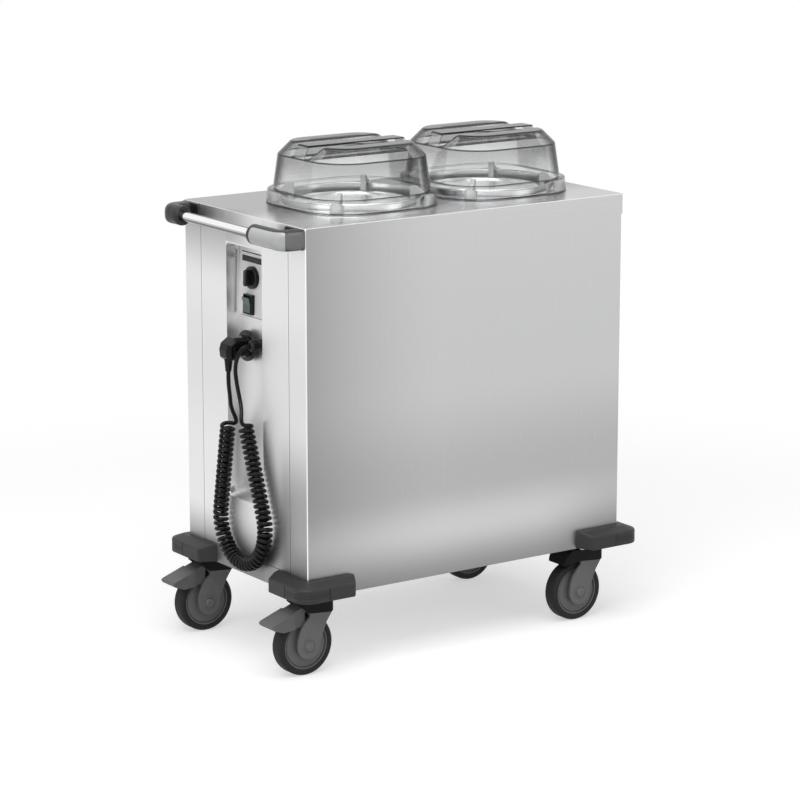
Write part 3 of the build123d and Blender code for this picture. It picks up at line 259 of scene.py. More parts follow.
def clear(name):
    """Clear formed sheet: see-through face on, smoky and glossy where it is seen along its surface, with
    painted dark lines of shade at the heights of rim, ledge, shoulder and crown where its creases are, a
    painted darker upper wall and painted dark crown edges."""
    s = Shade(name)
    edge_on = s.node("ShaderNodeLayerWeight", {}, {"Blend": 0.5}, "Facing")
    haze = s.noise(30.0, 2.0, 0.5)
    z = s.axis(2)
    # painted shade: thin dark lines at the heights of the creases
    painted_crease_shade = 0
    for height, half, depth in ((0.9281, 0.0008, 0.8), (0.9975, 0.0008, 0.6), (0.9012, 0.0008, 0.75),
                                (1.0236, 0.0009, 0.75)):
        line = (z.step(height - 2 * half, height - half) - z.step(height + half, height + 2 * half)) * depth
        painted_crease_shade = (line * edge_on.step(0.35, 0.7) if height == 0.9281 else line) + painted_crease_shade
    # painted shade: a darker upper wall and dark crown edges, and less gloss on the crown
    upper_wall = z.step(0.94, 0.992) - z.step(0.996, 1.0)
    crown = z.step(1.0215, 1.0235) * edge_on.step(0.6, 0.78)
    smoke_and_painted_shade = (0.02 + edge_on.step(0.35, 0.95) * z.step(0.926, 0.94, 0.2, 0.9) + upper_wall * 0.17 + crown * 0.8
             + painted_crease_shade + haze * 0.02).clamp(0.0, 0.96)
    body = s.principled(Base_Color=grey(0.02, -0.03), Roughness=0.1 + haze * 0.04, IOR=1.49,
                        Specular_IOR_Level=0.1)
    through = s.node("ShaderNodeBsdfTransparent", {}, {"Color": grey(0.955, -0.002)})
    gloss = s.node("ShaderNodeBsdfGlossy", {}, {"Color": grey(0.9), "Roughness": 0.04})
    shine = s.node("ShaderNodeFresnel", {}, {"IOR": 1.25}) * 0.35 * (1 - crown * 0.85)
    sheet = s.node("ShaderNodeMixShader", {}, {0: smoke_and_painted_shade, 1: through, 2: body})
    return s.finish(s.node("ShaderNodeMixShader", {}, {0: shine, 1: sheet, 2: gloss}))


def bracket_plastic(name):
    """Grained moulding: near black, with a painted lighter grey where it faces across the cart, as light falls
    on it, less so on the far bracket."""
    s = Shade(name)
    grain, slow = s.noise(800.0, 2.0, 0.5), s.noise(14.0, 3.0, 0.5)
    # painted light: the faces across the cart lighter, mostly on the near bracket
    across = s.facing(1).step(0.55, 0.95)
    near_side_painted_light = 1 - s.axis(1).step(-0.05, 0.05) * 0.85
    tone = s.mix(across * near_side_painted_light, grey(0.013), s.mix(grain * 0.5 + slow * 0.5, grey(0.09), grey(0.2)))
    return s.finish(s.principled(Base_Color=tone, Roughness=0.32 + slow * 0.1, Specular_IOR_Level=0.35,
                                 Normal=s.bump(grain, 0.35, 0.0003)))


def rubber(name, level, rough=0.62):
    """Solid tyre rubber: dull, with a fine pore and a faint dusty bloom."""
    s = Shade(name)
    pores, bloom = s.noise(1500.0, 2.0), s.noise(40.0, 4.0, 0.6)
    tone = s.mix(bloom, grey(level * 0.8), grey(level * 1.3, 0.01))
    return s.finish(s.principled(Base_Color=tone, Roughness=rough + bloom * 0.12, Specular_IOR_Level=0.3,
                                 Normal=s.bump(pores, 0.2, 0.0003)))


def cord_black(name):
    """Smooth cable sheath: black, with a soft wide sheen."""
    s = Shade(name)
    slow, fine = s.noise(60.0, 2.0), s.noise(2200.0, 2.0)
    tone = s.mix(slow, grey(0.003), grey(0.006))
    return s.finish(s.principled(Base_Color=tone, Roughness=0.15 + slow * 0.05, Specular_IOR_Level=0.17,
                                 Normal=s.bump(fine, 0.1, 0.0002)))


finish_of = {
    "stainless": steel("satin_steel_sheet", 0.93, 2, 0.26, 0.02, painted_sheet_light),
    "stainless_top": steel("satin_steel_top", 0.93, 0, 0.26, 0.02, painted_sheet_light),
    "stainless_well": steel("drawn_steel_well", 0.9, 2, 0.24),
    "bumper_grey": plastic("bumper_rubber", grey(0.03, -0.02), 0.5, 700.0, 0.3, shine=0.3),
    "handle_chrome": chrome("handle_chrome", CABINET_X + BAR_X, BAR_Z),
    "bracket_black": bracket_plastic("bracket_plastic"),
    "bracket_silver": plastic("bracket_inlay", grey(0.4, -0.01), 0.3, 900.0, 0.1, coat=0.3, mottle=0.04),
    "control_white": plastic("control_white", grey(0.74, 0.005), 0.4, 1200.0, 0.1, mottle=0.02),
    "black_plastic": plastic("control_black", grey(0.006), 0.3, 1200.0, 0.15, shine=0.3),
    "dark_plastic": plastic("thermostat_plastic", grey(0.03), 0.5),
    "rocker_green": plastic("rocker_green", (0.003, 0.035, 0.018), 0.16, 500.0, 0.05, coat=0.4),
    "cord_black": cord_black("cord_sheath"),
    "housing_black": plastic("caster_housing", grey(0.003), 0.45, 900.0, 0.2, shine=0.12),
    "pedal_grey": plastic("pedal_plastic", grey(0.11), 0.5, 650.0, 0.5, shine=0.35),
    "fork_grey": plastic("fork_plastic", grey(0.13, -0.01), 0.4, 900.0, 0.25, shine=0.4),
    "tyre_grey": rubber("tyre_rubber", 0.012),
    "hub_grey": plastic("hub_plastic", grey(0.125, -0.01), 0.4, 1000.0, 0.2, shine=0.4),
    "zinc": steel("zinc_plate", 0.55, 0, 0.35),
    "guide_white": plastic("guide_white", grey(0.7), 0.35, 1000.0, 0.1, mottle=0.04),
    "spring_steel": steel("spring_steel", 0.5, 0, 0.3),
    "hood_clear": clear("hood_clear"),
    "element_steel": steel("element_steel", 0.3, 0, 0.45),
}
OWN_FINISH = {"top_plate": "stainless_top", "base_tray": "stainless_top",
              "dispenser_tube_1": "stainless_well", "dispenser_tube_2": "stainless_well",
              "plate_platform_1": "stainless_well", "plate_platform_2": "stainless_well",
              "brake_pedal_front_near": "pedal_grey", "brake_pedal_front_far": "pedal_grey",
              "axle_front_near": "fork_grey", "axle_front_far": "fork_grey",
              "axle_rear_near": "fork_grey", "axle_rear_far": "fork_grey"}
SLOT_OF = {part["node"]: part["material_slot"] for part in frame["record"]["subparts"]}
for node, thing in frame["nodes"].items():
    material = finish_of[OWN_FINISH.get(node, SLOT_OF[node])]
    for slot in thing.material_slots:
        slot.material = material
    if not thing.material_slots:
        thing.data.materials.append(material)


# ================================================================ surfaces
def quads(rows, columns, wrap_rows=False, wrap_columns=False):
    """Corner numbers of every face of a grid of points, counted row by row."""
    i = np.arange(rows if wrap_rows else rows - 1)[:, None]
    j = np.arange(columns if wrap_columns else columns - 1)[None, :]
    i2, j2 = (i + 1) % rows, (j + 1) % columns
    corners = np.broadcast_arrays(i * columns + j, i * columns + j2, i2 * columns + j2, i2 * columns + j)
    return np.stack(corners, -1).reshape(-1, 4)


def finished(name, mesh, body, finish, replaces=(), sharp=32.0):
    """A piece from a finished mesh: smooth shading, its finish, its body and what it stands for."""
    mesh.shade_smooth()
    mesh.set_sharp_from_angle(angle=radians(sharp))
    mesh.materials.clear()
    mesh.materials.append(finish_of[finish])
    made = bpy.data.objects.new(name, mesh)
    bpy.context.scene.collection.objects.link(made)
    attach(made, body)
    if replaces:
        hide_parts(*replaces)
    return made


def piece(name, patches, body, finish, replaces=(), sharp=32.0, weld=2e-6):
    """One mesh from grids of points, (points, wraps rows, wraps columns): edges that meet are welded, and
    the faces are turned outwards."""
    points, faces, count = [], [], 0
    for grid, *wraps in patches:
        rows, columns = grid.shape[:2]
        points.append(grid.reshape(-1, 3))
        faces.append(quads(rows, columns, *wraps) + count)
        count += rows * columns
    mesh = bpy.data.meshes.new(name)
    mesh.from_pydata(np.concatenate(points).tolist(), [], np.concatenate(faces).tolist())
    form = bmesh.new()
    form.from_mesh(mesh)
    bmesh.ops.remove_doubles(form, verts=form.verts, dist=weld)
    bmesh.ops.dissolve_degenerate(form, edges=form.edges, dist=weld / 2)
    bmesh.ops.recalc_face_normals(form, faces=form.faces)
    form.to_mesh(mesh)
    form.free()
    return finished(name, mesh, body, finish, replaces, sharp)


def softened(node, width, segments=3, angle=28.0, join=True):
    """A merged copy of a CAD node, its flat faces joined and its edges rounded by a bevel of that width. A
    hollow piece keeps its flat faces apart, because joined ones would be bevelled across the hollow."""
    form = bmesh.new()
    form.from_mesh(frame["nodes"][node].data)
    bmesh.ops.remove_doubles(form, verts=form.verts, dist=2e-6)
    if join:
        bmesh.ops.dissolve_limit(form, angle_limit=radians(0.6), verts=form.verts, edges=form.edges)
    mesh = bpy.data.meshes.new("soft_" + node)
    form.to_mesh(mesh)
    form.free()
    for layer in ("custom_normal", "sharp_edge", "sharp_face"):
        if layer in mesh.attributes:
            mesh.attributes.remove(mesh.attributes[layer])
    slot = SLOT_OF[node]
    made = finished("soft_" + node, mesh, BODY_OF[node], OWN_FINISH.get(node, slot), [node], 180)
    bevel = made.modifiers.new("rounded_edges", "BEVEL")
    bevel.width, bevel.segments, bevel.limit_method = width * MM, segments, "ANGLE"
    bevel.angle_limit, bevel.harden_normals = radians(angle), True
    return made


def rounded(corners, radii, steps=6):
    """A 2-D line through corners, each rounded by an arc of its radius: the arc meets both runs at the
    same distance, radius times tan(half the turn), and is sampled at equal angles."""
    corners = np.asarray(corners, float)
    line = [corners[0]]
    for before, here, after, radius in zip(corners, corners[1:], corners[2:], radii):
        run_in, run_out = before - here, after - here
        run_in, run_out = run_in / np.linalg.norm(run_in), run_out / np.linalg.norm(run_out)
        half = np.arccos(np.clip(run_in @ run_out, -1, 1)) / 2
        middle = run_in + run_out
        centre = here + middle / np.linalg.norm(middle) * radius / sin(half)
        first, last = here + run_in * radius / tan(half), here + run_out * radius / tan(half)
        sweep = np.linspace(0, 1, steps)[:, None]
        a, b = first - centre, last - centre
        arc = pi - 2 * half
        line.extend(centre + (np.sin((1 - sweep) * arc) * a + np.sin(sweep * arc) * b) / sin(arc))
    line.append(corners[-1])
    return np.array(line)


def lathe(profile, origin, axis, sides=64):
    """A patch for piece(): a profile of (distance along the axis, radius), turned once round the axis."""
    turn = np.linspace(0, 2 * pi, sides, endpoint=False)[None, :]
    along, radius = profile[:, :1], profile[:, 1:]
    axis = np.asarray(axis, float) / np.linalg.norm(axis)
    side = np.cross(axis, (0, 0, 1.0) if abs(axis[2]) < 0.9 else (1.0, 0, 0))
    side /= np.linalg.norm(side)
    up = np.cross(axis, side)
    local = (along[..., None] * axis + (radius * np.cos(turn))[..., None] * side
             + (radius * np.sin(turn))[..., None] * up)
    x, y, z = np.moveaxis(local + np.asarray(origin, float), -1, 0)
    return on_cart(x, y, z), False, True


# ================================================================ camera
FOCAL_PX, PHOTO_PX = 3147.256, 800      # solved from the photograph's edges and wheels
camera_data = bpy.data.cameras.new("camera")
camera_data.sensor_width, camera_data.lens = 36.0, FOCAL_PX * 36 / PHOTO_PX
camera_data.clip_end = 200.0
camera = bpy.data.objects.new("camera", camera_data)
camera.location = on_cart(-3638.04, -5213.6, 1896.65)
camera.rotation_euler = (radians(90 - 12.615), 0, radians(-34.822))
bpy.context.scene.collection.objects.link(camera)
bpy.context.scene.camera = camera


# ================================================================ niche, shared by the cord and controls
NICHE_TOP, NICHE_BOTTOM = 834.0, 335.0
NICHE_DEPTH_TOP, NICHE_DEPTH_BOTTOM = 32.0, 16.0
NICHE_LEAN = atan2(NICHE_DEPTH_TOP - NICHE_DEPTH_BOTTOM, NICHE_TOP - NICHE_BOTTOM)
SOCKET_Y, SOCKET_Z = 15.0, 630.0
GLAND_Y, GLAND_Z, GLAND_R = -30.0, 638.0, 11.6
PLUG_Y, RELIEF_OUT = 13.0, 54.5        # across, and how far out of the niche's back the cord leaves the plug


def niche_point(right, up, out, y, z):
    """A place given on the niche's leaning back at (y, z): right runs to -Y, up along it, out of it."""
    x = -HALF_LENGTH + NICHE_DEPTH_TOP - (NICHE_TOP - z) * tan(NICHE_LEAN)
    return (x + up * sin(NICHE_LEAN) - out * cos(NICHE_LEAN), y - right,
            z + up * cos(NICHE_LEAN) + out * sin(NICHE_LEAN))


def plate_outline(half_width, half_height, corner, sides=48):
    """A rounded rectangle once round: each corner a quarter of a circle about its own middle."""
    turn = np.linspace(0, 2 * pi, sides, endpoint=False) + pi / sides
    c, s = np.cos(turn), np.sin(turn)
    return np.sign(c) * (half_width - corner) + corner * c, np.sign(s) * (half_height - corner) + corner * s


# ================================================================ plug in its parking socket
def side_profile(inset):
    """The angled plug seen from the side, (out, up): a body with cut corners, drawn in by an inset."""
    corners = np.array([(15.2, 20.5), (50, 20.5), (66, 9), (69.5, -4), (67, -19), (60, -25), (46, -25),
                        (38, -20.5), (15.2, -20.5), (15.2, 20.5)])
    middle = np.array([40.0, -1.0])
    corners = middle + (corners - middle) * (1 - inset / np.array([27.0, 21.0]))
    corners[[0, -2, -1], 0] = 15.2
    return rounded(corners, [2.5, 3, 3, 3, 3, 2, 2, 0.05], 4)


def plug_body():
    """The plug's body: its side profile at several distances across, drawn in towards both flat sides."""
    rows = []
    for across, inset in ((-19.5, 19), (-19.5, 6.5), (-18.9, 5.2), (-12, 0), (12, 0), (18.9, 5.2), (19.5, 6.5),
                          (19.5, 19)):
        out, up = side_profile(inset).T
        rows.append(np.stack(niche_point(across + 0 * out, up, out, PLUG_Y, SOCKET_Z), -1))
    x, y, z = np.moveaxis(np.array(rows), -1, 0)
    return piece("plug_body", [(on_cart(x, y, z), False, True)], "cabinet", "cord_black", ["plug"], 28.0)


def plug_relief():
    """The ribbed strain relief: a tapering profile with a swell every 5 mm, turned about the cord."""
    down = np.linspace(0, 24, 73)
    ribs = 0.75 * np.abs(np.sin(down * pi / 5.0)) ** 0.5
    profile = np.concatenate([[(-24, 0.02), (-24, 8.6), (-25, 9.0)],
                              np.column_stack([-24 - down, 8.2 - down * 0.115 + ribs]), [(-48, 4.3)]])
    origin = niche_point(0, 0, RELIEF_OUT, PLUG_Y, SOCKET_Z)
    return piece("plug_relief", [lathe(profile, origin, (sin(NICHE_LEAN), 0, cos(NICHE_LEAN)), 32)], "cabinet",
                 "cord_black", ["plug"], 60.0)


plug_pieces = [plug_body(), plug_relief()]
NICHE_OUT = (-cos(NICHE_LEAN), 0, sin(NICHE_LEAN))
flange = rounded([(0.2, 23), (8, 23), (8.5, 31.4), (15, 31.4), (15, 23), (16.5, 22), (16.5, 19)],
                 [1.0, 0.4, 2.6, 0.5, 0.7], 6)
piece("socket_flange", [lathe(flange, niche_point(0, 0, 0, SOCKET_Y, SOCKET_Z), NICHE_OUT, 72)], "cabinet",
      "black_plastic", ["parking_socket"], 40.0)
ribbed = np.linspace(0, 2 * pi, 96, endpoint=False)
knurl = GLAND_R + 0.7 * np.sign(np.sin(12 * ribbed))
gland_rows = []
for out, scale in ((0.1, 0.0), (0.1, 1.08), (8.4, 1.08), (9.0, 0.9), (15.5, 0.9), (16.2, 1.0), (29, 0.96),
                   (31.5, 0.82), (33.5, 0.55), (33.5, 0.38)):
    reach = knurl * scale if 16 < out < 30 else (GLAND_R * scale + 0 * ribbed)
    gland_rows.append(np.stack(niche_point(reach * np.cos(ribbed), reach * np.sin(ribbed), out + 0 * ribbed,
                                           GLAND_Y, GLAND_Z), -1))
piece("ribbed_gland", [(on_cart(*np.moveaxis(np.array(gland_rows), -1, 0)), False, True)], "cabinet",
      "black_plastic", ["cable_gland"], 25.0)


# ================================================================ mains cord
WIRE_R, CURL_R, CURLS, CURL_PLANE_X = 4.25, 12.25, 62, -408.0
BEND_R, BEND_Y, BEND_Z = 83.5, -17.0, 277.0
PLUG_TILT, GLAND_TILT = radians(9.8), radians(20.1)
PLUG_RUN, GLAND_RUN = 180.9, 183.8
CURL_START, CURL_END = 205.0, 280.0 + 360.0 * (CURLS - 1)
CURL_AXIS_LENGTH = PLUG_RUN + GLAND_RUN + BEND_R * (pi + PLUG_TILT + GLAND_TILT)


def curl_points(angles):
    """The curled wire by its turning angles: a helix of radius CURL_R round a line that runs down, round
    an arc of radius BEND_R and up again in an upright plane."""
    distance = CURL_AXIS_LENGTH * (angles - CURL_START) / (CURL_END - CURL_START)
    turn = pi + PLUG_TILT + GLAND_TILT
    along = np.clip((distance - PLUG_RUN) / BEND_R, 0, turn)
    straight = np.where(distance < PLUG_RUN, distance - PLUG_RUN,
                        np.maximum(distance - PLUG_RUN - BEND_R * turn, 0))
    lean = PLUG_TILT - along
    head_y, head_z = np.sin(lean), -np.cos(lean)
    y = BEND_Y + BEND_R * np.cos(lean) + straight * head_y
    z = BEND_Z + BEND_R * np.sin(lean) + straight * head_z
    turning = np.radians(angles)
    return np.stack([CURL_PLANE_X - CURL_R * np.cos(turning), y + CURL_R * np.sin(turning) * head_z,
                     z - CURL_R * np.sin(turning) * head_y], -1)


def curl_heading(angle):
    """The way that the curled wire runs at one turning angle, from two points beside it."""
    before, after = curl_points(np.array([angle - 0.05, angle + 0.05]))
    return (after - before) / np.linalg.norm(after - before)


curls = curl_points(np.linspace(CURL_START, CURL_END, round((CURL_END - CURL_START) / 22.5) + 1))
plug_lead = curls[0] - curl_heading(CURL_START) * 2 * WIRE_R
gland_lead = curls[-1] + curl_heading(CURL_END) * 2 * WIRE_R
relief_end = np.array(niche_point(0, -48, RELIEF_OUT, PLUG_Y, SOCKET_Z))
gland_end = np.array(niche_point(0, 0, 33, GLAND_Y, GLAND_Z))
plug_side = np.array([relief_end, niche_point(0, -70, RELIEF_OUT, PLUG_Y, SOCKET_Z), (-414.0, 16.2, 534.5),
                      (-409.0, 21.5, 510), (-401.5, 24.5, 495), plug_lead + (1, -6.5, 6.5), plug_lead])
gland_side = np.array([gland_lead, gland_lead + (-5.4, 1.8, 7), (-416.0, -31, 512), (-413.0, -19, 534),
                       (-413.5, -9, 562), (-416.0, -7, 593), (-418.0, -20, 618),
                       niche_point(0, 0, 51, GLAND_Y, GLAND_Z), gland_end])
route = np.concatenate([plug_side, curls, gland_side])[::-1]
line = bpy.data.curves.new("mains_lead", "CURVE")
line.dimensions, line.resolution_u = "3D", 3
line.bevel_depth, line.bevel_resolution, line.use_fill_caps = WIRE_R * MM, 3, True
spline = line.splines.new("NURBS")
spline.points.add(len(route) - 1)
spline.points.foreach_set("co", np.column_stack([on_cart(*route.T), np.ones(len(route))]).ravel())
spline.order_u = 3
spline.use_endpoint_u = True
line.materials.append(finish_of["cord_black"])
lead = bpy.data.objects.new("mains_lead", line)
bpy.context.scene.collection.objects.link(lead)
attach(lead, "cabinet")
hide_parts("mains_cord")
tuple(on_cart(*gland_end))


# ================================================================ hoods
HOOD_TOP, CHANNEL_FLOOR = 1025.0, 1000.0
HOOD_CORE, CROWN_REACH, SHOULDER_REACH = 53.0, 49.0, 74.8


def soft_low(a, b, width):
    """The lower of two heights, with their crossing rounded over a width."""
    h = np.maximum(width - np.abs(a - b), 0) / width
    return np.minimum(a, b) - h * h * width / 4


def hood_height(x, y):
    """Height of the hood's top: level at 1025, then falling 1 in 1 from 49 mm outside a core square of
    half 53; two channels with a floor at 1000 and a sloped outer side; an upright grip between them."""
    x, y = np.abs(x), np.abs(y)
    reach = np.hypot(np.maximum(x - HOOD_CORE, 0), np.maximum(y - HOOD_CORE, 0))
    crown = soft_low(HOOD_TOP + 0 * reach, HOOD_TOP - (reach - CROWN_REACH), 4)
    channel = -soft_low(-CHANNEL_FLOOR + 0 * y, -(CHANNEL_FLOOR + (y - 32) * 25 / 21), 3)
    outside = soft_low(crown, channel, 3)
    grip = soft_low(HOOD_TOP - (x - 116) * 27 / 12, HOOD_TOP - (y - 18) * 25 / 1.5, 3)
    grip = soft_low(grip, HOOD_TOP + 0 * y, 3)
    top = -soft_low(-outside, -grip, 2)
    return np.where(reach > SHOULDER_REACH - 0.1, HOOD_TOP - (SHOULDER_REACH - CROWN_REACH), top)


def hood(number, middle):
    """The clear cover: a top that is a height over x and y, on four sides that are one profile of
    (reach from the core square, height) carried round the square's rounded offset."""
    reach = np.unique(np.concatenate([[0, 14, 28, 38, 43, 46], np.arange(47, 53, 0.75),
                                      np.arange(53.5, SHOULDER_REACH, 1.4), [SHOULDER_REACH]]))
    inner = np.linspace(-HOOD_CORE, HOOD_CORE, 9)
    x_lines = np.concatenate([-HOOD_CORE - reach[:0:-1], inner, HOOD_CORE + reach[1:]])
    half_y = np.concatenate([[0, 8, 13, 15.5, 16.5, 17.2, 17.8, 18.3, 18.8, 19.3, 19.8, 20.5, 21.5, 23, 26,
                              29, 30.5, 31.5, 32.5, 33.5], np.arange(35.2, 52, 1.7), [HOOD_CORE]])
    y_lines = np.concatenate([-half_y[:0:-1], half_y])

    def lid(x, y):
        return on_cart(middle + x, y, hood_height(x, y))

    patches = [(lid(*np.meshgrid(x_lines, y_lines, indexing="ij")),)]
    quarter = np.linspace(0, pi / 2, 15)
    for side in (-1, 1):
        patches.append((lid(*np.meshgrid(inner, side * (HOOD_CORE + reach), indexing="ij")),))
        for end in (-1, 1):
            r, a = np.meshgrid(reach, quarter, indexing="ij")
            patches.append((lid(end * (HOOD_CORE + r * np.cos(a)), side * (HOOD_CORE + r * np.sin(a))),))
    wall = rounded([(SHOULDER_REACH - 2, HOOD_TOP - (SHOULDER_REACH - 2 - CROWN_REACH)), (76, 998), (86, 928),
                    (97, 928), (100, 900.7)], [5.0, 2.5, 2.5], 5)[1:]
    wall[0] = (SHOULDER_REACH, HOOD_TOP - (SHOULDER_REACH - CROWN_REACH))
    corner = quarter[1:-1]
    # the outline's core points and outward directions, once round from +X
    core = np.concatenate([[(HOOD_CORE, y) for y in y_lines], [(HOOD_CORE, HOOD_CORE)] * len(corner),
                           [(x, HOOD_CORE) for x in inner[::-1]], [(-HOOD_CORE, HOOD_CORE)] * len(corner),
                           [(-HOOD_CORE, y) for y in y_lines[::-1]], [(-HOOD_CORE, -HOOD_CORE)] * len(corner),
                           [(x, -HOOD_CORE) for x in inner], [(HOOD_CORE, -HOOD_CORE)] * len(corner)])
    facing = np.concatenate([np.zeros(len(y_lines)), corner, np.full(len(inner), pi / 2), corner + pi / 2,
                             np.full(len(y_lines), pi), corner + pi, np.full(len(inner), 1.5 * pi),
                             corner + 1.5 * pi])
    r, z = wall[:, :1], wall[:, 1:]
    patches.append((on_cart(middle + core[:, 0] + r * np.cos(facing), core[:, 1] + r * np.sin(facing),
                            z + 0 * facing), False, True))
    made = piece(f"clear_hood_{number}", patches, f"hood_{number}", "hood_clear",
                 [f"hood_{number}"], 40.0, 2e-5)
    wall_thickness = made.modifiers.new("wall", "SOLIDIFY")
    wall_thickness.thickness, wall_thickness.offset = 3 * MM, -1


for number, middle in enumerate(WELLS, 1):
    hood(number, middle)


# ================================================================ handle brackets
BEND, ARM_Y = 17.0, 190.0             # the bend's radius in plan, and how far across it starts
NEAR_SLEEVE_END, FAR_SLEEVE_END = -106.0, 160.0


def bracket_surface(side, sleeve_end, along, turn, lift=0.0):
    """The bracket by distance along its centre line and angle round it. The line runs across the cart on
    the bar's axis, turns by a quarter circle of radius BEND and runs in to the top plate; the section goes
    from a circle of radius 20 to a block of 38 by 40 with round corners, and inside the bend it reaches no
    further than the bend's middle. A lift moves the surface outwards."""
    run = ARM_Y - abs(sleeve_end)
    angle = np.clip((along - run) / BEND, 0, pi / 2)
    line_x = BAR_X + BEND * (1 - np.cos(angle)) + np.maximum(along - run - BEND * pi / 2, 0)
    line_y = side * (abs(sleeve_end) + np.minimum(along, run) + BEND * np.sin(angle))
    share = np.clip((along - run + 8) / (BEND * pi / 2 + 8), 0, 1)
    share = share * share * (3 - 2 * share)
    c, s = np.cos(turn), np.sin(turn)
    block_out, block_up = 19 * np.sign(c) * np.abs(c) ** 0.42, 20 * np.sign(s) * np.abs(s) ** 0.42
    grow = (1 + lift / 20) * (1 - 0.07 * np.clip(1 - along / 2, 0, 1) ** 2)
    out = ((1 - share) * 20 * c + share * block_out) * grow
    up = ((1 - share) * 20 * s + share * block_up) * grow
    near_bend = np.clip(1 - np.maximum(run - along, along - run - BEND * pi / 2) / 7, 0, 1)
    out = np.maximum(out, -20 + 3.6 * near_bend)
    return on_cart(line_x - out * np.cos(angle), line_y + side * out * np.sin(angle), BAR_Z + up)


for side, name, sleeve_end in ((-1, "near", NEAR_SLEEVE_END), (1, "far", FAR_SLEEVE_END)):
    run = ARM_Y - abs(sleeve_end)
    along = np.unique(np.concatenate([[0, 0.5, 1, 1.5, 2, 5.2, 5.4, 6.6, 6.8], np.linspace(8, run, 9),
                                      np.linspace(run, run + BEND * pi / 2, 15),
                                      [run + BEND * pi / 2 + d for d in (4, 10, 18, 23)]]))[:, None]
    turn = np.linspace(0, 2 * pi, 64, endpoint=False)[None, :]
    groove = -0.9 * ((along > 5.3) & (along < 6.7))
    shell = bracket_surface(side, sleeve_end, along, turn, groove)
    round_x, round_z = np.cos(turn[0]), np.sin(turn[0])
    mouth = np.stack([shell[0], *(on_cart(BAR_X - radius * round_x, sleeve_end - side * push + 0 * round_x,
                                          BAR_Z + radius * round_z)
                                  for radius, push in ((13.5, 0.0), (12.8, -1.6), (10.3, -1.6), (10.3, -6)))])
    piece(f"bracket_{name}", [(shell, False, True), (mouth, False, True)], "cabinet", "bracket_black",
          [f"handle_bracket_{name}"], 35.0)
    wide, high = plate_outline(33.0, 20.0, 6.0)
    pad = [on_cart(-390.1 - out, side * (226 - 33) + wide * grow, BAR_Z + high * grow)
           for out, grow in ((0, 1.0), (4.2, 1.0), (5, 0.97), (5, 0.0))]
    piece(f"bracket_pad_{name}", [(np.stack(pad), False, True)], "cabinet", "bracket_black", sharp=35.0)

# the bright inlay on the near bracket: the same surface, lifted, with its rim turned down all round
first, last = 12.0, ARM_Y + NEAR_SLEEVE_END + BEND * 1.02
places = np.concatenate([[first], first + 7 * (1 - np.cos(np.linspace(0, pi / 2, 9)))[1:],
                         np.linspace(first + 10, last - 8, 26),
                         last - 7 * (1 - np.cos(np.linspace(pi / 2, 0, 9)))[:-1], [last]])[:, None]
from_edge = np.minimum(places - first, last - places)
reach = radians(57) * (0.8 + 0.2 * np.sqrt(np.clip(1 - (1 - np.clip(from_edge / 7, 0, 1)) ** 2, 0, 1)))
spread = np.linspace(-1, 1, 29)[None, :]
lifted = np.where((np.abs(spread) > 0.999) | (from_edge < 0.01), -0.6, 0.9)
piece("bracket_inlay", [(bracket_surface(-1, NEAR_SLEEVE_END, places, reach * spread, lifted),)], "cabinet",
      "bracket_silver", (), 60.0)


# ================================================================ corner bumpers
BUMPER_STATIONS = np.unique(np.round(np.concatenate([
    np.linspace(0, 239.12, 56), *(np.linspace(c - 2.6, c + 2.6, 11) for c in (61.0, 178.12)),
    np.linspace(0, 4, 7), np.linspace(235.12, 239.12, 7)]), 3))


def bumper_plan(station):
    """The inner and outer plan lines by distance along the outer one: a 96 mm leg, an arc of radius 30
    and a leg; the inner line is the cabinet's corner, and its legs are 110 mm."""
    arc = 30 * pi / 2
    s = np.where(station > 96 + arc / 2, 2 * 96 + arc - station, station)     # mirrored past the middle
    turn = np.clip((s - 96) / 30, 0, pi / 4)
    outer_x = np.where(s < 96, s - 91, 5 + 30 * np.sin(turn))
    outer_y = np.where(s < 96, 35.0, 5 + 30 * np.cos(turn))
    inner_x = np.where(s < 96, -110 + s * 110 / 96, 0.0)
    swap = station > 96 + arc / 2
    return (np.where(swap, 0.0, inner_x), np.where(swap, inner_x, 0.0),
            np.where(swap, outer_y, outer_x), np.where(swap, outer_x, outer_y))


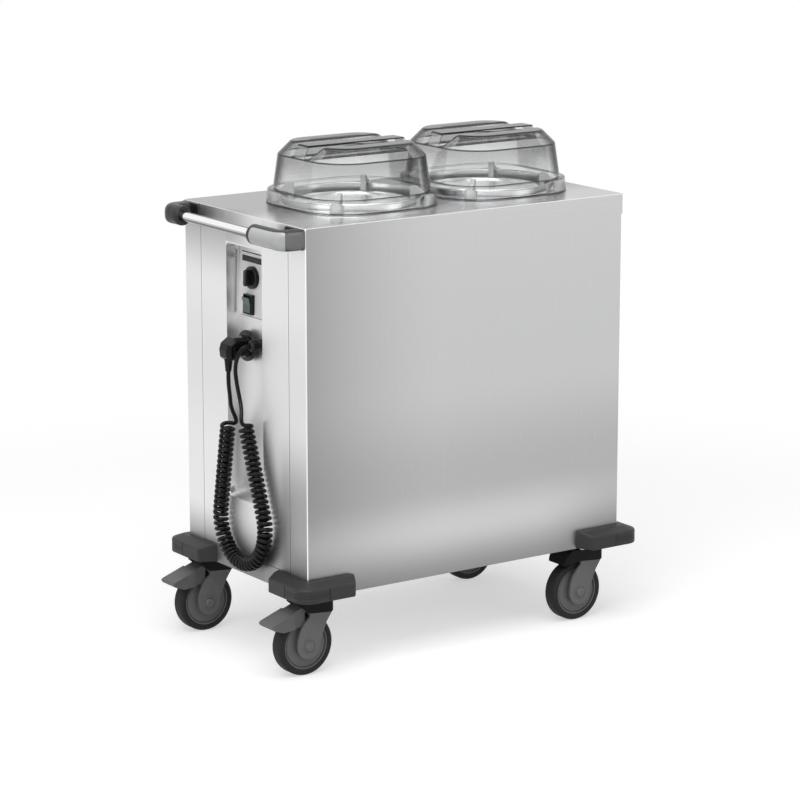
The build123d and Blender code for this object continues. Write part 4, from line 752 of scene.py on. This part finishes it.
def bumper(end, side, name):
    """A moulded corner: a section of (distance out, height), with rounded edges and a sloped top, is
    carried along the plan; it draws in by a quarter round at both ends, and grooves limit how far it
    reaches out."""
    station = BUMPER_STATIONS[:, None]
    total = BUMPER_STATIONS[-1]
    from_end = np.minimum(BUMPER_STATIONS, total - BUMPER_STATIONS)
    draw = 4 - np.sqrt(np.maximum(16 - np.maximum(4 - from_end, 0) ** 2, 0))
    sections = []
    heights = np.concatenate([np.linspace(2, 9, 5), np.linspace(9.4, 20, 28), np.linspace(21, 24, 3)])
    for inset in draw:
        shape = rounded([(0, inset), (35 - inset, inset), (35 - inset, 28.1 - inset / 2),
                         (13 - inset / 2, 36.6 - inset), (0, 36.6 - inset)], [2.0, 5.0, 6.0], 7)
        outer = np.column_stack([np.full(len(heights), 35 - inset), np.maximum(heights, inset + 2)])
        sections.append(np.concatenate([shape[:8], outer, shape[8:]]))
    out, height = np.moveaxis(np.array(sections), -1, 0)
    middle_distance = np.abs(station - total / 2)
    upright = 1.7 - np.minimum(np.abs(middle_distance - (total / 2 - 61.0)), 1.7)
    level = sum(np.clip(1.4 - np.abs(height - h - 0.6) / 0.45, 0, 1) for h in (10, 14, 18))
    level = level * (middle_distance < total / 2 - 61.0) * 0.8
    out = np.minimum(out, 35 - np.maximum(upright, level))
    ix, iy, ox, oy = bumper_plan(station)
    share = out / 35
    x, y = ix + (ox - ix) * share, iy + (oy - iy) * share
    body = on_cart(end * (HALF_LENGTH + x), side * (HALF_WIDTH + y), BODY_BOTTOM + height)
    ends = [np.stack([row, np.broadcast_to(row.mean(0), row.shape)]) for row in (body[0], body[-1])]
    piece(f"moulded_{name}", [(body, False, True), *((cap, False, True) for cap in ends)], "cabinet",
          "bumper_grey", [name], 50.0)


for end, end_name in ((-1, "handle"), (1, "back")):
    for side, side_name in ((-1, "near"), (1, "far")):
        bumper(end, side, f"bumper_{end_name}_{side_name}")


# ================================================================ casters
CASTERS = {"front_near": (-339.0, -188.3), "front_far": (-339.0, 188.3),
           "rear_near": (339.0, -188.3), "rear_far": (339.0, 188.3)}
TRAIL, AXLE_Z = 40.0, 62.5


def wheel(name, place):
    """Tyre and hub, each a profile turned round the axle."""
    x, y = place
    origin = (x - TRAIL, y, AXLE_Z)
    tyre = rounded([(-14.5, 50), (-15.2, 53), (-16, 54), (-16, 62.5), (16, 62.5), (16, 54), (15.2, 53),
                    (14.5, 50), (-14.5, 50)], [0.5, 0.8, 6.5, 6.5, 0.8, 0.5, 0.05], 7)
    piece(f"turned_tyre_{name}", [lathe(tyre, origin, (0, 1, 0), 96)], f"wheel_{name}", "tyre_grey",
          [f"tyre_{name}"], 50.0)
    half = [(19.5, 5.06), (19.5, 12), (17.0, 14.0), (13.5, 20), (12.6, 34), (11.9, 44.4), (10.0, 45.4),
            (10.0, 46.5), (14.2, 47.1), (14.4, 49.6), (13.4, 49.95)]
    radii = [1.0, 1.5, 3, 5, 1.5, 0.5, 0.5, 0.8, 0.8, 0.3]
    profile = np.array(half + [(-a, r) for a, r in half[::-1]] + [half[0]])
    profile = rounded(profile, radii + [0.3] + radii[::-1] + [0.3, 0.3], 5)
    piece(f"turned_hub_{name}", [lathe(profile, origin, (0, 1, 0), 80)], f"wheel_{name}", "hub_grey",
          [f"hub_{name}"], 40.0)


for name, place in CASTERS.items():
    wheel(name, place)
    softened(f"caster_fork_{name}", 2.4, 4)
    softened(f"caster_head_{name}", 1.6)
    for side in (-1, 1):
        cap = rounded([(side * 25.5, 15), (side * 26.9, 15), (side * 27.4, 12.6), (side * 26.6, 12),
                       (side * 26.6, 10.4), (side * 29.2, 9.6), (side * 31, 7.5), (side * 31.2, 0.02)],
                      [0.5, 0.5, 0.3, 0.3, 0.8, 1.4], 5)
        piece(f"axle_cap_{name}_{'near' if side < 0 else 'far'}",
              [lathe(cap, (place[0] - TRAIL, place[1], AXLE_Z), (0, 1, 0), 48)], f"swivel_{name}", "fork_grey",
              (), 40.0)
for name in ("front_near", "front_far"):
    softened(f"brake_pedal_{name}", 1.0, join=False)


# ================================================================ controls
def niche_sheet(name, y, z, half_width, half_height, corner, low, high, finish):
    """A thin plate on the niche's back: its rounded outline at a low and a high distance out, the upper
    edge drawn in a little, and a flat face."""
    right, up = plate_outline(half_width, half_height, corner)
    rows = [np.stack(niche_point(right * grow, up * grow, out + 0 * up, y, z), -1)
            for grow, out in ((0, low), (1, low), (1, high - 0.2), (1 - 0.2 / half_height, high), (0, high))]
    x, yy, zz = np.moveaxis(np.array(rows), -1, 0)
    return piece(name, [(on_cart(x, yy, zz), False, True)], "cabinet", finish, (), 30.0)


# a thin dark frame just larger than the control plate, seen as a dark outline round it
niche_sheet("control_dark_outline", 0.0, 751.5, 56.4, 64.9, 3.8, 0.1, 1.0, "black_plastic")
niche_sheet("control_strip", 0.0, 803.0, 50.0, 6.0, 0.8, 3.0, 3.25, "black_plastic")


# ================================================================ floor, light and world
def light(name, place, aim, size, watts):
    data = bpy.data.lights.new(name, "AREA")
    data.shape, data.size, data.size_y, data.energy = "RECTANGLE", size[0], size[1], watts
    made = bpy.data.objects.new(name, data)
    made.location = place
    away = np.array(place) - np.array(aim)
    made.rotation_euler = (atan2(hypot(away[0], away[1]), away[2]), 0, atan2(away[0], -away[1]))
    bpy.context.scene.collection.objects.link(made)


light("overhead_softbox", (-0.6, -0.8, 3.2), (0.0, 0.0, 0.4), (2.6, 2.6), 56)
light("left_softbox", (-3.6, -0.6, 1.6), (0.0, 0.0, 0.5), (1.6, 2.4), 17)
light("right_softbox", (2.4, -3.4, 1.7), (0.0, 0.0, 0.5), (2.0, 2.0), 12)
light("high_strip", (-2.2, -2.0, 2.9), (0.0, 0.0, 0.5), (1.5, 0.3), 26)


def surround_rays(shade):
    """1 on the rays that see the white surround: from the camera, mirrored, and sent through a surface."""
    camera_ray, mirrored, through = (shade.node("ShaderNodeLightPath", {}, {}, kind)
                                     for kind in ("Is Camera Ray", "Is Glossy Ray", "Is Transmission Ray"))
    return (camera_ray + mirrored + through).clamp()


s = Shade("pale_floor")
x, y = s.axis(0), s.axis(1)
far_off = ((x * x + y * y) ** 0.5).step(1.1, 2.2)
shown = surround_rays(s)
plain = s.node("ShaderNodeBsdfDiffuse", {}, {"Color": grey(0.6)})
lit = s.node("ShaderNodeEmission", {}, {"Color": grey(1.0), "Strength": shown * 0.5})
near = s.node("ShaderNodeAddShader", {}, {0: plain, 1: lit})
white = s.node("ShaderNodeEmission", {}, {"Color": grey(1.0), "Strength": 1.0})
s.finish(s.node("ShaderNodeMixShader", {}, {0: far_off * shown, 1: near, 2: white}))
floor_mesh = bpy.data.meshes.new("floor")
floor_mesh.from_pydata([(-60, -60, 0), (60, -60, 0), (60, 60, 0), (-60, 60, 0)], [], [(0, 1, 2, 3)])
floor_mesh.materials.append(s.material)
floor = bpy.data.objects.new("floor", floor_mesh)
bpy.context.scene.collection.objects.link(floor)

world = bpy.data.worlds.new("studio")
bpy.context.scene.world = world
w = Shade("studio", world)
w.finish(w.node("ShaderNodeBackground", {}, {"Color": grey(1.0), "Strength": 0.45 + surround_rays(w) * 0.55}))

scene = bpy.context.scene
scene.view_settings.view_transform = "Standard"
